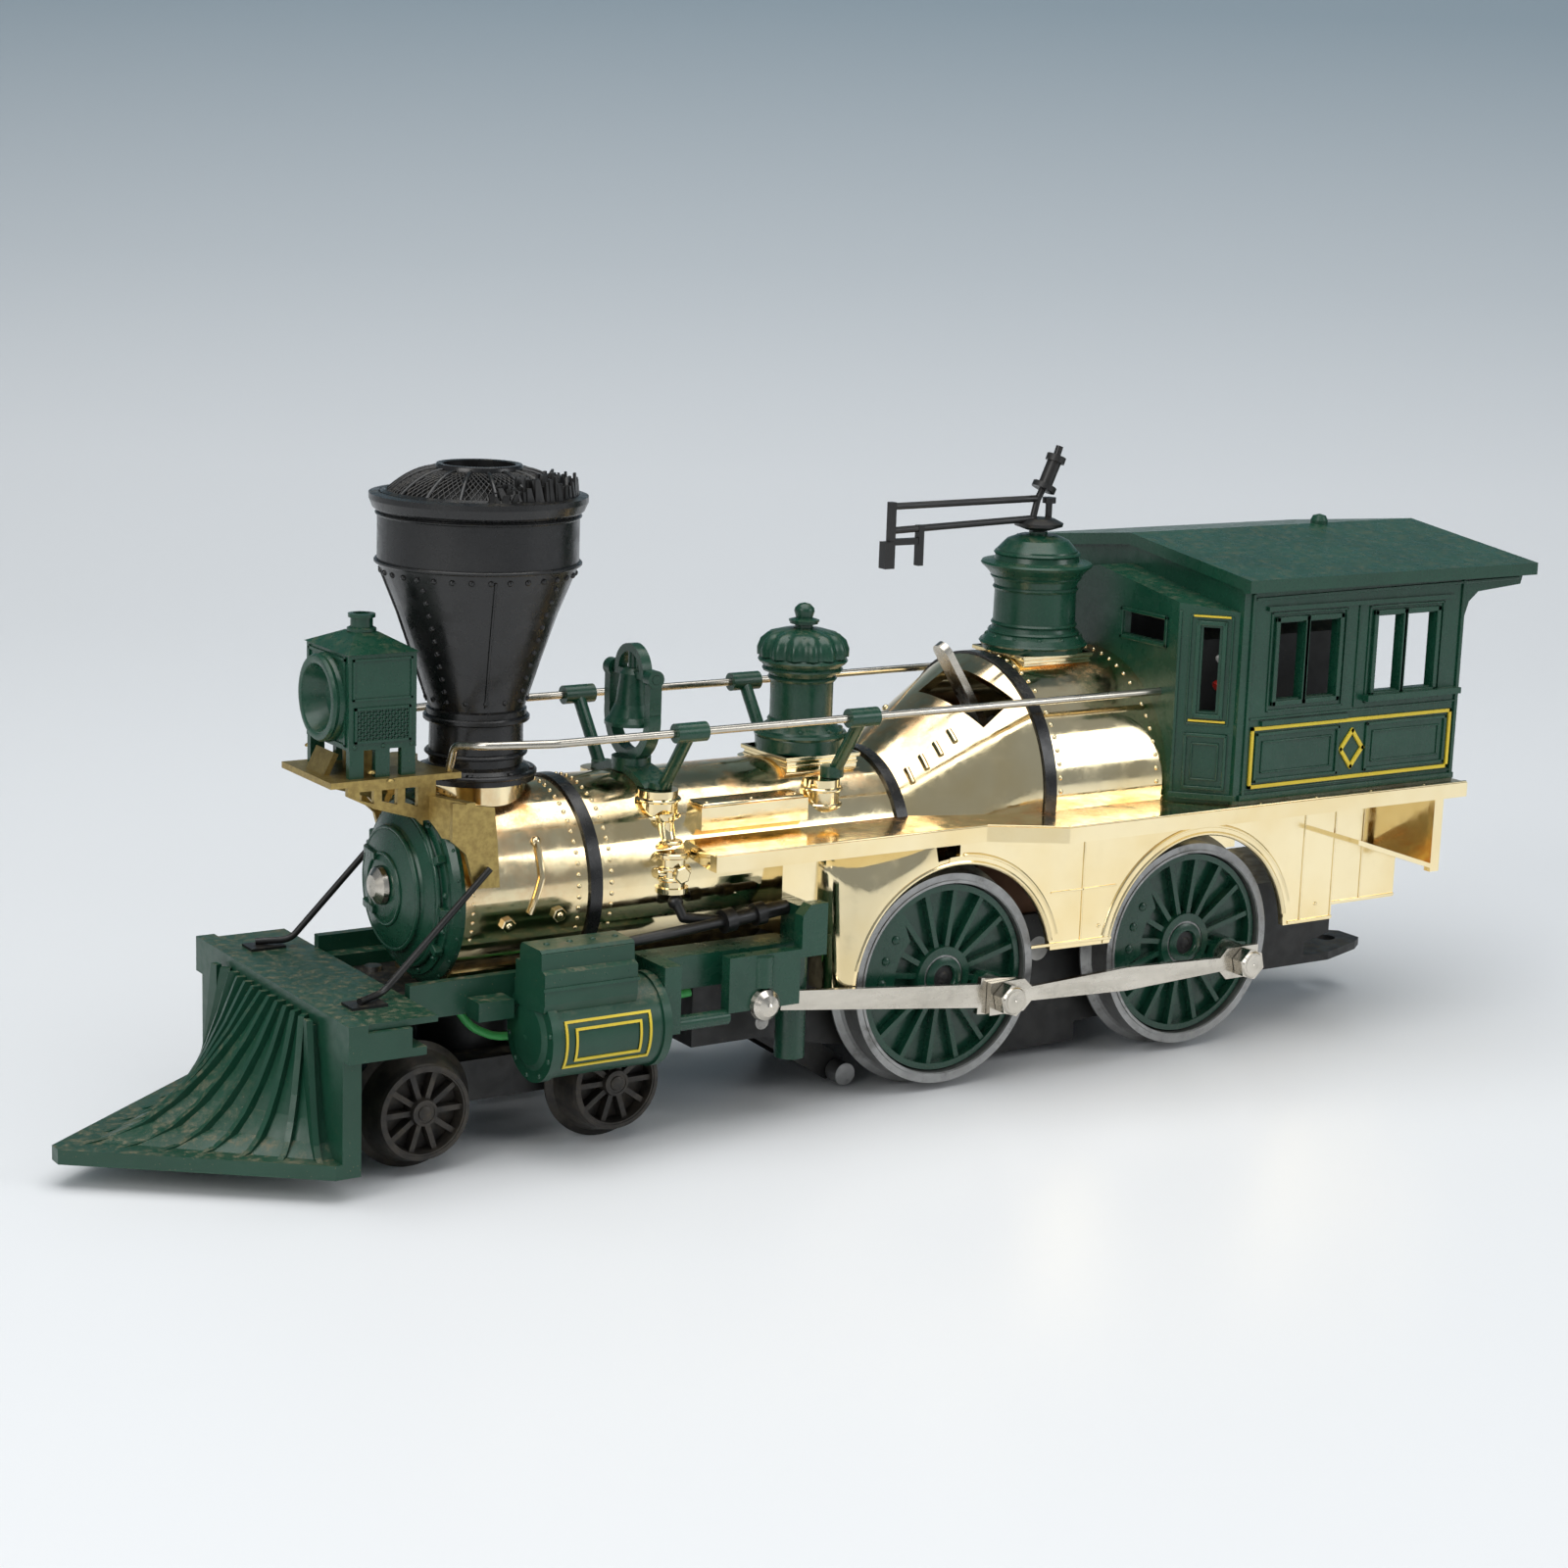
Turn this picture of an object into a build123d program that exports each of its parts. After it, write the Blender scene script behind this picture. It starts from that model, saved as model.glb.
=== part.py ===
from build123d import *
import os
from math import sin, cos, tan, pi, radians, degrees, hypot, atan2, sqrt

# Model steam locomotive, 4-4-0 wheel arrangement, O gauge (31.75 mm between rails).
# +X towards the pilot, +Y to the locomotive's left, +Z up.
# Origin: centre of the bounding box in plan, at the level of the wheel flanges' lowest point.

os.makedirs("parts", exist_ok=True)

# ---------------- driving dimensions (mm) ----------------
GAUGE_BACK = 13.7          # half of the back-to-back distance of the wheels
DRV_R = 16.8               # driver tread radius
DRV_FL = 18.1              # driver flange radius
DRV_FACE = 19.68           # outer face of the driver tyre
XF = -12.4                 # front driver axle
WB = 48.8                  # driver wheelbase
XR = XF - WB               # rear driver axle
ZD = DRV_FL                # driver axle height
CRANK_R = 8.8
CRANK_A = radians(199.2)   # rest angle of the left cranks, in the XZ plane
TRK_R = 7.4               # truck wheel tread radius
TRK_FL = 9.3
TRK_FACE = 19.3
XT = 61.5                 # truck pivot
TWB = 31.0                 # truck wheelbase
ZT = TRK_FL
AXLE_R = 2.4
RUN = 0.05                 # radial running clearance
BAR_R = 14.3               # front barrel radius
BAR_Z = 37.2
REAR_R = 20.0              # rear barrel radius
REAR_Z = 45.0
XC0, XC1 = -8.5, -29.5     # cone from, to
X_SMOKE = 68.4             # front end of the barrel
X_CABF = -54.5             # cab front wall
X_CABC = -62.0             # cab side walls start
X_CABR = -110.0            # cab side walls end
CAB_Y = 28.2
FLOOR_Z = 43.08            # top of the running board
FLOOR_T = 2.4
PLAT_Y = 31.0
BRD_Y = 24.6
ROOF_X0, ROOF_X1 = -60.45, -124.0
ROOF_Y = 30.5
ROOF_PK, ROOF_EV = 83.5, 79.6
SKIRT_Y0, SKIRT_Y1 = 20.9, 22.0
ARCH_R = 18.7
X_STACK = 59.8
X_TIP = 124.0
MOD = 0.8                  # gear module
N_DRV, N_IDL, N_PIN = 26, 35, 10
X_IDL = (XF + XR) / 2
Z_ARM = ZD + MOD * (N_IDL + N_PIN) / 2
ROD_M0, ROD_M1 = 22.4, 23.35
ROD_S0, ROD_S1 = 23.45, 24.4

# ---------------- helpers ----------------
def bx(x0, x1, y0, y1, z0, z1):
    return Pos((x0 + x1) / 2, (y0 + y1) / 2, (z0 + z1) / 2) * Box(abs(x1 - x0), abs(y1 - y0), abs(z1 - z0))
def _pr(pl, pts, h):
    return extrude(pl * make_face(Polyline(*pts, close=True)), amount=h)
def px(pts, x0, x1):
    return _pr(Plane((x0, 0, 0), x_dir=(0, 1, 0), z_dir=(1, 0, 0)), pts, x1 - x0)
def py(pts, y0, y1):
    return _pr(Plane((0, y1, 0), x_dir=(1, 0, 0), z_dir=(0, -1, 0)), pts, y1 - y0)
def pz(pts, z0, z1):
    return _pr(Plane((0, 0, z0), x_dir=(1, 0, 0), z_dir=(0, 0, 1)), pts, z1 - z0)
def cx(x0, x1, y, z, r):
    return extrude(Plane((x0, y, z), x_dir=(0, 1, 0), z_dir=(1, 0, 0)) * Circle(r), amount=x1 - x0)
def cy(y0, y1, x, z, r):
    return extrude(Plane((x, y1, z), x_dir=(1, 0, 0), z_dir=(0, -1, 0)) * Circle(r), amount=y1 - y0)
def cz(z0, z1, x, y, r):
    return extrude(Plane((x, y, z0), x_dir=(1, 0, 0), z_dir=(0, 0, 1)) * Circle(r), amount=z1 - z0)
def rod(p, q, r):
    d = Vector(*q) - Vector(*p)
    return extrude(Plane(Vector(*p), z_dir=d) * Circle(r), amount=d.length)
def rvz(pts, x, y):
    return Pos(x, y, 0) * revolve(Plane.XZ * make_face(Polyline(*pts, close=True)), axis=Axis.Z)
def rvy(pts, x, z):
    return Pos(x, 0, z) * revolve(make_face(Polyline(*pts, close=True)), axis=Axis.Y)
def rvx(pts, y, z):
    return Pos(0, y, z) * revolve(make_face(Polyline(*pts, close=True)), axis=Axis.X)
def mir(s):
    return mirror(s, about=Plane.XZ)
def wire_tube(pts, r, radii):
    path = FilletPolyline(*pts, radius=radii)
    t0 = path % 0
    return sweep(Plane(path @ 0, z_dir=t0) * Circle(r), path=path)

N = {}

# ---------------- gears ----------------
def involute_gear(n, phase, y0, y1, x, z, bore):
    rp = MOD * n / 2
    rb = rp * cos(radians(20))
    ra = rp + MOD * 0.95
    rf = rp - MOD * 1.2
    half = (pi * MOD / 2 - 0.12) / (2 * rp)
    inv = lambda a: tan(a) - a
    pts = []
    for k in range(n):
        c = phase + 2 * pi * k / n
        side = []
        for i in range(6):
            r = max(rb, rf) + (ra - max(rb, rf)) * i / 5
            a = sqrt(max((r / rb) ** 2 - 1, 0))
            th = half + inv(radians(20)) - (a - atan2(a, 1))
            side.append((r, th))
        if rb > rf:
            side.insert(0, (rf, side[0][1] + 0.002))
        pts += [(r * cos(c - t), r * sin(c - t)) for r, t in side]
        pts += [(r * cos(c + t), r * sin(c + t)) for r, t in reversed(side)]
    g = Pos(x, 0, z) * py(pts, y0, y1)
    return g - cy(y0 - 1, y1 + 1, x, z, bore)

# ---------------- driver wheelsets ----------------
def driver_wheels(x):
    prof = [(3.4, GAUGE_BACK), (DRV_FL - 0.5, GAUGE_BACK), (DRV_FL, GAUGE_BACK + 0.45), (DRV_FL, GAUGE_BACK + 0.8),
            (DRV_R + 0.35, GAUGE_BACK + 1.5), (DRV_R, GAUGE_BACK + 2.0), (DRV_R, DRV_FACE), (15.2, DRV_FACE),
            (14.9, 16.3), (3.4, 16.3)]
    w = rvy(prof, x, ZD)
    w += rvy([(AXLE_R, GAUGE_BACK - 0.8), (3.6, GAUGE_BACK - 0.8), (3.6, 19.0), (2.7, 19.0), (2.7, 18.3), (AXLE_R, 18.3)], x, ZD)
    return w + mir(w)

def spoked_centre(x, a, left):
    s = rvy([(3.65, 16.3), (14.85, 16.3), (14.85, 17.2), (5.2, 17.2), (4.9, 19.1), (3.65, 19.1)], x, ZD)
    s += rvy([(13.9, 17.2), (14.85, 17.2), (14.85, 18.9), (13.9, 18.9)], x, ZD)
    for k in range(16):
        t = a + 2 * pi * (k + 0.5) / 16
        b = Pos(x, 0, ZD) * Rot(0, -degrees(t), 0) * bx(4.6, 14.2, 17.1, 18.7, -0.42, 0.42)
        s += b
    # counterweight, opposite the crank pin
    cw = []
    for i in range(9):
        t = a + pi + radians(-34 + 68 * i / 8)
        cw.append((14.0 * cos(t), 14.0 * sin(t)))
    for i in range(9):
        t = a + pi + radians(26 - 52 * i / 8)
        cw.append((9.2 * cos(t), 9.2 * sin(t)))
    s += Pos(x, 0, ZD) * py(cw, 17.1, 18.9)
    xp, zp = x + CRANK_R * cos(a), ZD + CRANK_R * sin(a)
    s += cy(16.5, 20.0, xp, zp, 3.0)
    s -= cy(15, 22, xp, zp, 1.6)
    return s if left else mir(s)

def crank_bolts(x, a, front):
    xp, zp = x + CRANK_R * cos(a), ZD + CRANK_R * sin(a)
    b = cy(16.6, 27.0, xp, zp, 1.6 - 0.001)
    b += cy(20.0, (ROD_M0 if front else ROD_S0) - 0.12, xp, zp, 2.6)
    hx = [(2.6 * cos(pi * k / 3 + 0.3), 2.6 * sin(pi * k / 3 + 0.3)) for k in range(6)]
    b += Pos(xp, 0, zp) * py(hx, ROD_S1 + 0.12, 26.6)
    b += rvy([(0, 26.6), (2.2, 26.6), (2.0, 26.9), (0, 27.1)], xp, zp)
    return b

AL, AR = CRANK_A, CRANK_A - pi / 2
for tag, xa in (("front", XF), ("rear", XR)):
    N[tag + "_axle"] = cy(-18.0, 18.0, xa, ZD, AXLE_R)
    N[tag + "_driver_wheels"] = driver_wheels(xa)
    N[tag + "_driver_centres"] = spoked_centre(xa, AL, True) + spoked_centre(xa, AR, False)
    N[tag + "_crank_bolts"] = crank_bolts(xa, AL, tag == "front") + mir(crank_bolts(xa, AR, tag == "front"))
N["front_driver_gear"] = involute_gear(N_DRV, pi, 1.2, 7.0, XF, ZD, AXLE_R)
N["rear_driver_gear"] = involute_gear(N_DRV, pi / N_DRV, 1.2, 7.0, XR, ZD, AXLE_R)
N["idler_gear"] = involute_gear(N_IDL, pi / N_IDL, 1.6, 6.6, X_IDL, ZD, 2.0 + RUN)
pin_a = radians(261.0)
arm = cy(-8.6, -0.6, X_IDL, Z_ARM, 8.2)
for k in range(3):
    t = 2 * pi * k / 3 + 0.4
    arm -= cy(-14, 0, X_IDL + 6.9 * cos(t), Z_ARM + 6.9 * sin(t), 1.5)
N["armature"] = arm - cy(-20, 10, X_IDL, Z_ARM, 1.2)
N["armature_shaft"] = cy(-13.6, 11.4, X_IDL, Z_ARM, 1.2) + involute_gear(N_PIN, pin_a, 1.2, 7.0, X_IDL, Z_ARM, 1.1)

# ---------------- rods ----------------
def side_rod(a):
    x0, z0 = XF + CRANK_R * cos(a), ZD + CRANK_R * sin(a)
    x1 = x0 - WB
    s = py([(x0 - 4, z0 + 1.1), (x0 - WB / 2, z0 + 1.9), (x1 + 4, z0 + 1.1), (x1 + 4, z0 - 1.1), (x0 - WB / 2, z0 - 1.9), (x0 - 4, z0 - 1.1)], ROD_S0, ROD_S1)
    for xx, d in ((x0, -1), (x1, 1)):
        s += py([(xx - 3.0 * d, z0 + 2.6), (xx + 3.6 * d, z0 + 2.6), (xx + 5.0 * d, z0 + 1.2), (xx + 5.0 * d, z0 - 1.2), (xx + 3.6 * d, z0 - 2.6), (xx - 3.0 * d, z0 - 2.6)], ROD_S0, ROD_S1)
        s -= cy(ROD_S0 - 1, ROD_S1 + 1, xx, z0, 1.6 + 0.06)
    return s
X_ROD_END = 20.6
TILT = radians(6.1)
def main_rod(a):
    x0, z0 = XF + CRANK_R * cos(a), ZD + CRANK_R * sin(a)
    xr0, zr0 = XF + CRANK_R * cos(CRANK_A), ZD + CRANK_R * sin(CRANK_A)
    L = X_ROD_END - xr0
    dx, dz = cos(TILT), sin(TILT)
    def P(s, h): return (x0 + s * dx - h * dz, z0 + s * dz + h * dx)
    r = py([P(1.0, 1.9), P(L, 1.45), P(L, -1.45), P(1.0, -1.9)], ROD_M0, ROD_M1)
    r += py([P(-3.0, 2.9), P(4.4, 2.9), P(4.4, -2.9), P(-3.0, -2.9)], ROD_M0, ROD_M1)
    return r - cy(ROD_M0 - 1, ROD_M1 + 1, x0, z0, 1.6 + 0.06)
N["side_rod_left"] = side_rod(AL)
N["side_rod_right"] = mir(side_rod(AR))
N["main_rod_left"] = main_rod(AL)
N["main_rod_right"] = mir(main_rod(AR))

# ---------------- leading truck ----------------
X1, X2 = XT + TWB / 2, XT - TWB / 2
def truck_wheels(x):
    prof = [(2.6, GAUGE_BACK), (TRK_FL - 0.4, GAUGE_BACK), (TRK_FL, GAUGE_BACK + 0.4), (TRK_FL, GAUGE_BACK + 0.7),
            (TRK_R + 0.9, GAUGE_BACK + 1.4), (TRK_R + 0.5, GAUGE_BACK + 2.4), (TRK_R - 0.3, TRK_FACE - 0.4), (TRK_R - 0.5, TRK_FACE), (6.0, TRK_FACE), (5.8, 17.0), (2.2, 17.0), (2.2, GAUGE_BACK + 0.3), (2.6, GAUGE_BACK)]
    w = rvy(prof, x, ZT)
    w += rvy([(1.5, GAUGE_BACK), (2.3, GAUGE_BACK), (2.3, 17.5), (1.9, TRK_FACE + 0.1), (1.5, TRK_FACE + 0.1)], x, ZT)
    for k in range(10):
        w += Pos(x, 0, ZT) * Rot(0, 36 * k, 0) * bx(1.7, 6.1, 16.9, 18.7, -0.4, 0.4)
    return w + mir(w)
for tag, xa in (("front", X1), ("rear", X2)):
    N["truck_%s_wheelset" % tag] = truck_wheels(xa) + cy(-TRK_FACE, TRK_FACE, xa, ZT, 1.5)
tf = bx(X2 - 3.5, X1 + 3.5, 9.2, 11.6, 7.3, 11.3) + bx(X2 - 3.5, X1 + 3.5, -11.6, -9.2, 7.3, 11.3)
tf += bx(XT - 6.5, XT + 6.5, -11.6, 11.6, 10.6, 13.4)
tf += cz(12, 19.0, XT, 0, 6.9)
tf -= cz(5, 25, XT, 0, 1.7)
for xa in (X1, X2):
    tf -= cy(-15, 15, xa, ZT, 1.5 + RUN)
tf -= cz(8, 10.7, XT, 0, 3.4)
N["truck_frame"] = tf

# ---------------- chassis ----------------
cyl_top = 24.0
def side_wall(y0, y1):
    w = py([(28.6, 10.2), (28.6, 20.0), (22.0, 22.4), (15.0, 22.6), (13.0, 24.0), (-100.4, 24.0), (-100.4, 13.6), (-84.0, 9.7), (-74.0, 6.0), (-30.0, 4.2), (-22.0, 4.2), (4.0, 7.5), (16.0, 10.2)], y0, y1)
    for xa in (XF, XR):
        w -= cy(y0 - 1, y1 + 1, xa, ZD, 3.6)
    return w
ch = side_wall(9.0, 11.4) + side_wall(-11.4, -9.0)
ch += bx(13.0, -23.0, -11.4, 11.4, 22.4, 24.0) + bx(-51, -100.4, -11.4, 11.4, 22.4, 24.0)
ch += bx(22, 28.6, -11.4, 11.4, 10.2, 12.2) + bx(26.6, 28.6, -11.4, 11.4, 10.2, 20.0)
ch += bx(-84, -100.4, -11.4, 11.4, 13.6, 15.6)
ch += bx(20, 66.2, -10, 10, 19.6, 21.8) + bx(12, 22, -10, 10, 19.6, 22.6)
ch += bx(66.0, 80.5, -11.5, 11.5, 20.9, 22.7) + bx(66.0, 67.0, -10, 10, 20.0, 21.5)
ch += bx(-28.5, -45, -11.4, 11.4, 1.6, 2.9) + bx(-28.5, -45, 9.0, 11.4, 1.6, 5.0) + bx(-28.5, -45, -11.4, -9.0, 1.6, 5.0)
ch -= cz(15, 25, XT, 0, 1.65)
ch -= cy(-12, 12, X_IDL, ZD, 2.0)
ch -= cy(-12, 12, 16.0, 12.6, 1.2)
for xa in (XF, XR):
    ch -= bx(xa - 12.5, xa + 12.5, 0.4, 7.8, 20, 26)
ch -= bx(-52.5, -21.0, 0.4, 7.8, 20, 26)
N["chassis_frame"] = ch
N["chassis_pins"] = cy(-11.4, 11.4, X_IDL, ZD, 2.0) + cy(-11.4, 11.4, 16.0, 12.6, 1.2)
ab = None
for xa in (XF, XR):
    for sgn in (1, -1):
        b = cy(8.6, 11.8, xa, ZD, 3.6) - cy(8, 12.5, xa, ZD, AXLE_R + RUN)
        b = b if sgn > 0 else mir(b)
        ab = b if ab is None else ab + b
N["axle_bushes"] = ab
# motor
mf = (bx(-50, -23.6, -9.0, -1.0, 24.0, 48.5) - cy(-14, 3, X_IDL, Z_ARM, 8.7)) - bx(-60, -10, -14, -3, 24, 24.05)
N["motor_field"] = mf + bx(-48, -25.6, -10.9, -9.1, 40, 47)
bh = bx(-50, -23.6, -13.2, -11.4, 24.0, 45.0)
bh += bx(-50, -48, -11.5, -9.05, 25.5, 34) + bx(-25.6, -23.6, -11.5, -9.05, 25.5, 34)
bh += bx(-49, -24.6, 8.0, 10.4, 24.05, 42.0)
N["brush_holder"] = bh - cy(-20, 12, X_IDL, Z_ARM, 1.2 + RUN)
N["drawbar"] = pz([(-88, 8), (-104, 8), (-113.5, 4.6), (-116.2, 2.6), (-116.2, -2.6), (-113.5, -4.6), (-104, -8), (-88, -8)], 7.4, 8.8) + bx(-88, -98, -8, 8, 8.8, 13.6)
N["drawbar"] -= cz(5, 12, -110.5, 0, 1.8)
N["chassis_screws"] = cz(20.4, 23.4, 72.0, 8.5, 1.3) + cz(20.4, 23.4, 72.0, -8.5, 1.3) + cz(5.9, 7.4, -93, 0, 2.4) + (cz(8.6, 10.4, XT, 0, 3.0) + cz(10.3, 21.7, XT, 0, 1.65))
N["chassis_frame"] -= cz(20, 26, 72.0, 8.5, 1.3) + cz(20, 26, 72.0, -8.5, 1.3)

# collector arm and roller
XCR, ZCR = 0.2, 2.0
ca = py([(16.0 - 2.0, 14.4), (16.0 + 2.0, 14.4), (16.0 + 2.0, 10.8), (XCR + 1.6, ZCR - 1.4), (XCR - 1.6, ZCR - 1.4), (XCR - 1.6, ZCR + 1.6)], 7.2, 8.2)
ca += mir(ca)
ca += bx(14.2, 17.8, -8.2, 8.2, 13.9, 14.4)
ca -= cy(-12, 12, 16.0, 12.6, 1.2 + RUN)
ca -= cy(-12, 12, XCR, ZCR, 0.9 + RUN)
N["collector_arm"] = ca
N["collector_roller"] = cy(-6.9, 6.9, XCR, ZCR, 1.8) + cy(-9.4, 9.4, XCR, ZCR, 0.9) + cy(8.5, 11.4, XCR, ZCR, 1.8) + cy(-11.4, -8.5, XCR, ZCR, 1.8)

# ---------------- body shell ----------------
def circ(x, z, r):
    return Plane((x, 0, z), x_dir=(0, 1, 0), z_dir=(1, 0, 0)) * Circle(r)
def boiler(dr):
    b = cx(XC0, X_SMOKE + (0 if dr == 0 else 5), 0, BAR_Z, BAR_R - dr)
    b += loft([circ(XC1, REAR_Z, REAR_R - dr), circ(XC0, BAR_Z, BAR_R - dr)])
    b += cx(X_CABF - (0 if dr == 0 else 5), XC1, 0, REAR_Z, REAR_R - dr)
    return b
plan = [(31.6, 14.0), (33.2, 22.8), (33.2, BRD_Y), (-15.4, BRD_Y), (-26.5, PLAT_Y), (-111.0, PLAT_Y)]
plan = plan + [(x, -y) for x, y in reversed(plan)]
outer = boiler(0)
outer -= bx(16.0, -60, -40, 40, 0, FLOOR_Z - FLOOR_T)
shell = outer + pz(plan, FLOOR_Z - FLOOR_T, FLOOR_Z)
# saddle under the smokebox
shell += bx(44, 66.0, -8.6, 8.6, 21.8, 27.5) + bx(65.9, X_SMOKE, -8.6, 8.6, 22.75, 27.5)
inner = boiler(1.6)
shell -= inner
shell -= bx(20, 60.0, -7.0, 7.0, 19, 27)
# motor bay opening in the running board
shell -= pz([(14, 12), (XC0, 12), (XC1, 16.5), (-54.5, 16.5), (-54.5, -16.5), (XC1, -16.5), (XC0, -12), (14, -12)], FLOOR_Z - FLOOR_T - 1, FLOOR_Z + 0.5)
# side skirts with wheel arches
sk = py([(-12.4, FLOOR_Z - 1), (-90.5, FLOOR_Z - 1), (-90.5, 19.6), (-80.0, 19.6), (-61, 19.6), (-42.5, 20.9), (-28.0, 21.1), (-12.4, 21.1)], SKIRT_Y0, SKIRT_Y1)
sk += py([(-90.0, FLOOR_Z - 1), (-107.0, FLOOR_Z - 1), (-107.0, 28.4), (-105.5, 28.4), (-105.5, 21.7), (-90.0, 21.7)], SKIRT_Y0 - 1.0, SKIRT_Y1 - 1.0)
sk += cy(SKIRT_Y0, SKIRT_Y1 + 0.15, XF, ZD, ARCH_R + 1.4) & py([(XF + 2, 60), (XF - 30, 60), (XF - 30, 23.5), (XF + 2, 23.5)], 15, 25)
sk += cy(SKIRT_Y0, SKIRT_Y1 + 0.15, XR, ZD, ARCH_R + 1.4) & py([(XR - 30, 60), (XR + 30, 60), (XR + 30, 21), (XR - 30, 21)], 15, 25)
# splasher ahead of the front driver
spl = cy(15.5, SKIRT_Y1, XF, ZD, ARCH_R + 1.2) & py([(XF - 2, ZD + 0.8), (XF + 40, ZD + 0.8), (XF + 40, 60), (XF - 2, 60)], 10, 25)
sk += spl + py([(XF - 1, FLOOR_Z - 1), (16.8, FLOOR_Z - 1), (16.8, 27.5), (XF + 15, 27.5), (XF - 1, 30)], 15.5, 17.0)
sk -= cy(10, 30, XF, ZD, ARCH_R)
sk -= cy(10, 30, XR, ZD, ARCH_R)
# transverse closing wall between the skirt's front plate and the barrel
sk += px([(8.0, FLOOR_Z - 1), (17.0, FLOOR_Z - 1), (17.0, 27.5), (8.0, 27.5)], 15.2, 16.8) - cx(10, 20, 0, BAR_Z, BAR_R - 0.8)
# rear step hangers
sk += bx(-105.4, -107.4, 28.0, 29.4, 27.8, FLOOR_Z - 1) + py([(-88.6, 34.9), (-88.6, 34.1), (-107.4, 27.8), (-107.4, 28.6)], SKIRT_Y0 - 0.6, 29.4) + bx(-106.2, -107.4, SKIRT_Y0 - 1.0, 29.4, 28.4, FLOOR_Z - 1) - bx(-100, -106.3, SKIRT_Y0 - 1.2, SKIRT_Y0 - 1.0, 20, 40)
shell += sk + mir(sk)
# pedestals, boxes, check valves
shell += bx(-34.8, -48.0, -6.6, 6.6, 60.0, 65.4) - inner
shell += bx(9.6, -3.2, -6.2, 6.2, 47.0, 52.4) - inner
for s in (1, -1):
    v = bx(29.4, 10.6, 9.0, 13.9, 44.4, 47.8)
    v += cz(46.0, 50.2, 34.0, 8.8, 3.0) + cz(45.2, 49.6, 5.4, 9.6, 2.8)
    v += cz(36.4, 41.6, 34.5, 14.2, 2.0) + cz(41.0, 42.0, 34.5, 14.2, 2.5) + cz(35.8, 36.6, 34.5, 14.2, 2.5)
    v += cz(41.0, 46.0, 34.4, 12.6, 0.8)
    shell += (v if s > 0 else mir(v)) - inner
# stack seat, lever slot, mounting holes
shell += (cz(48.0, 52.6, X_STACK, 0, 7.2) & bx(40, X_SMOKE, -10, 10, 40, 60)) - inner
ca_, sa_ = cos(radians(32.7)), sin(radians(32.7))
LV_TIP = (-18.9, 5.0, 68.4)
LV_D = (sa_, 0, ca_)
LV_P = (LV_TIP[0] - 20 * LV_D[0], 5.0, LV_TIP[2] - 20 * LV_D[2])
lv_plane = Plane(LV_P, x_dir=(0, 1, 0), z_dir=LV_D)
shell -= extrude((lv_plane * Rectangle(15.0, 7.0)), amount=30)
shell -= cz(40, 60, X_STACK, 0, 4.0)
N["body_shell"] = shell

# boiler bands
def band(x0, x1, z, r, y_cut):
    b = cx(x0, x1, 0, z, r + 0.45) - cx(x0 - 1, x1 + 1, 0, z, r)
    if y_cut: b -= bx(-60, 60, -40, 40, 0, y_cut)
    return b
bb = band(46.4, 48.4, BAR_Z, BAR_R, 0)
bb += band(XC0 + 0.2, XC0 + 2.2, BAR_Z, BAR_R, FLOOR_Z)
bb += band(XC1 - 2.4, XC1 - 0.2, REAR_Z, REAR_R, FLOOR_Z)
N["boiler_bands"] = bb - bx(44, 50, -9, 9, 21, 27.6)

# ---------------- smokebox front, stack ----------------
sf = rvx([(67.0, 0), (67.0, 12.5), (X_SMOKE, 12.5), (X_SMOKE, 14.3), (69.0, 14.3), (69.8, 13.5), (70.1, 12.9), (70.5, 12.9), (70.7, 11.6), (71.8, 11.2), (72.6, 9.4), (73.6, 8.6), (74.6, 4.0), (74.8, 0)], 0, BAR_Z)
sf -= cx(60, 80, 0, BAR_Z + 0.6, 1.2)
sf -= cz(40, 60, X_STACK, 0, 4.1)
N["smokebox_front"] = sf - bx(60, X_SMOKE + 0.02, -8.7, 8.7, 20, 27.5)
N["smokebox_screw"] = cx(66, 75.0, 0, BAR_Z + 0.6, 1.2 - 0.001) + rvx([(74.9, 0), (74.9, 2.9), (75.6, 2.7), (76.4, 1.6), (76.6, 0)], 0, BAR_Z + 0.6)
st = rvz([(4.4, 52.6), (8.6, 52.6), (8.6, 53.6), (7.6, 54.6), (6.9, 55.0), (6.8, 61.4), (7.3, 61.6), (7.3, 63.0), (7.0, 63.2), (9.2, 70.0), (11.6, 77.0), (14.5, 84.2), (14.5, 91.4), (15.2, 92.0), (15.7, 93.2), (15.7, 94.0), (14.4, 94.2), (13.6, 93.0), (13.4, 86.0), (10.4, 77.5), (8.0, 70.4), (5.4, 62.0), (4.4, 60.0)], X_STACK, 0)
st += cz(46.5, 52.7, X_STACK, 0, 3.9) - cz(46, 53, X_STACK, 0, 2.6)
N["smokestack"] = st
ca2 = rvz([(5.2, 98.3), (5.9, 98.3), (9.0, 97.2), (12.0, 95.6), (13.5, 93.8), (13.5, 92.0), (12.6, 92.0), (12.4, 93.2), (11.4, 94.8), (8.6, 96.3), (5.9, 97.3), (5.2, 97.3)], X_STACK, 0)
N["spark_arrestor"] = ca2

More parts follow.
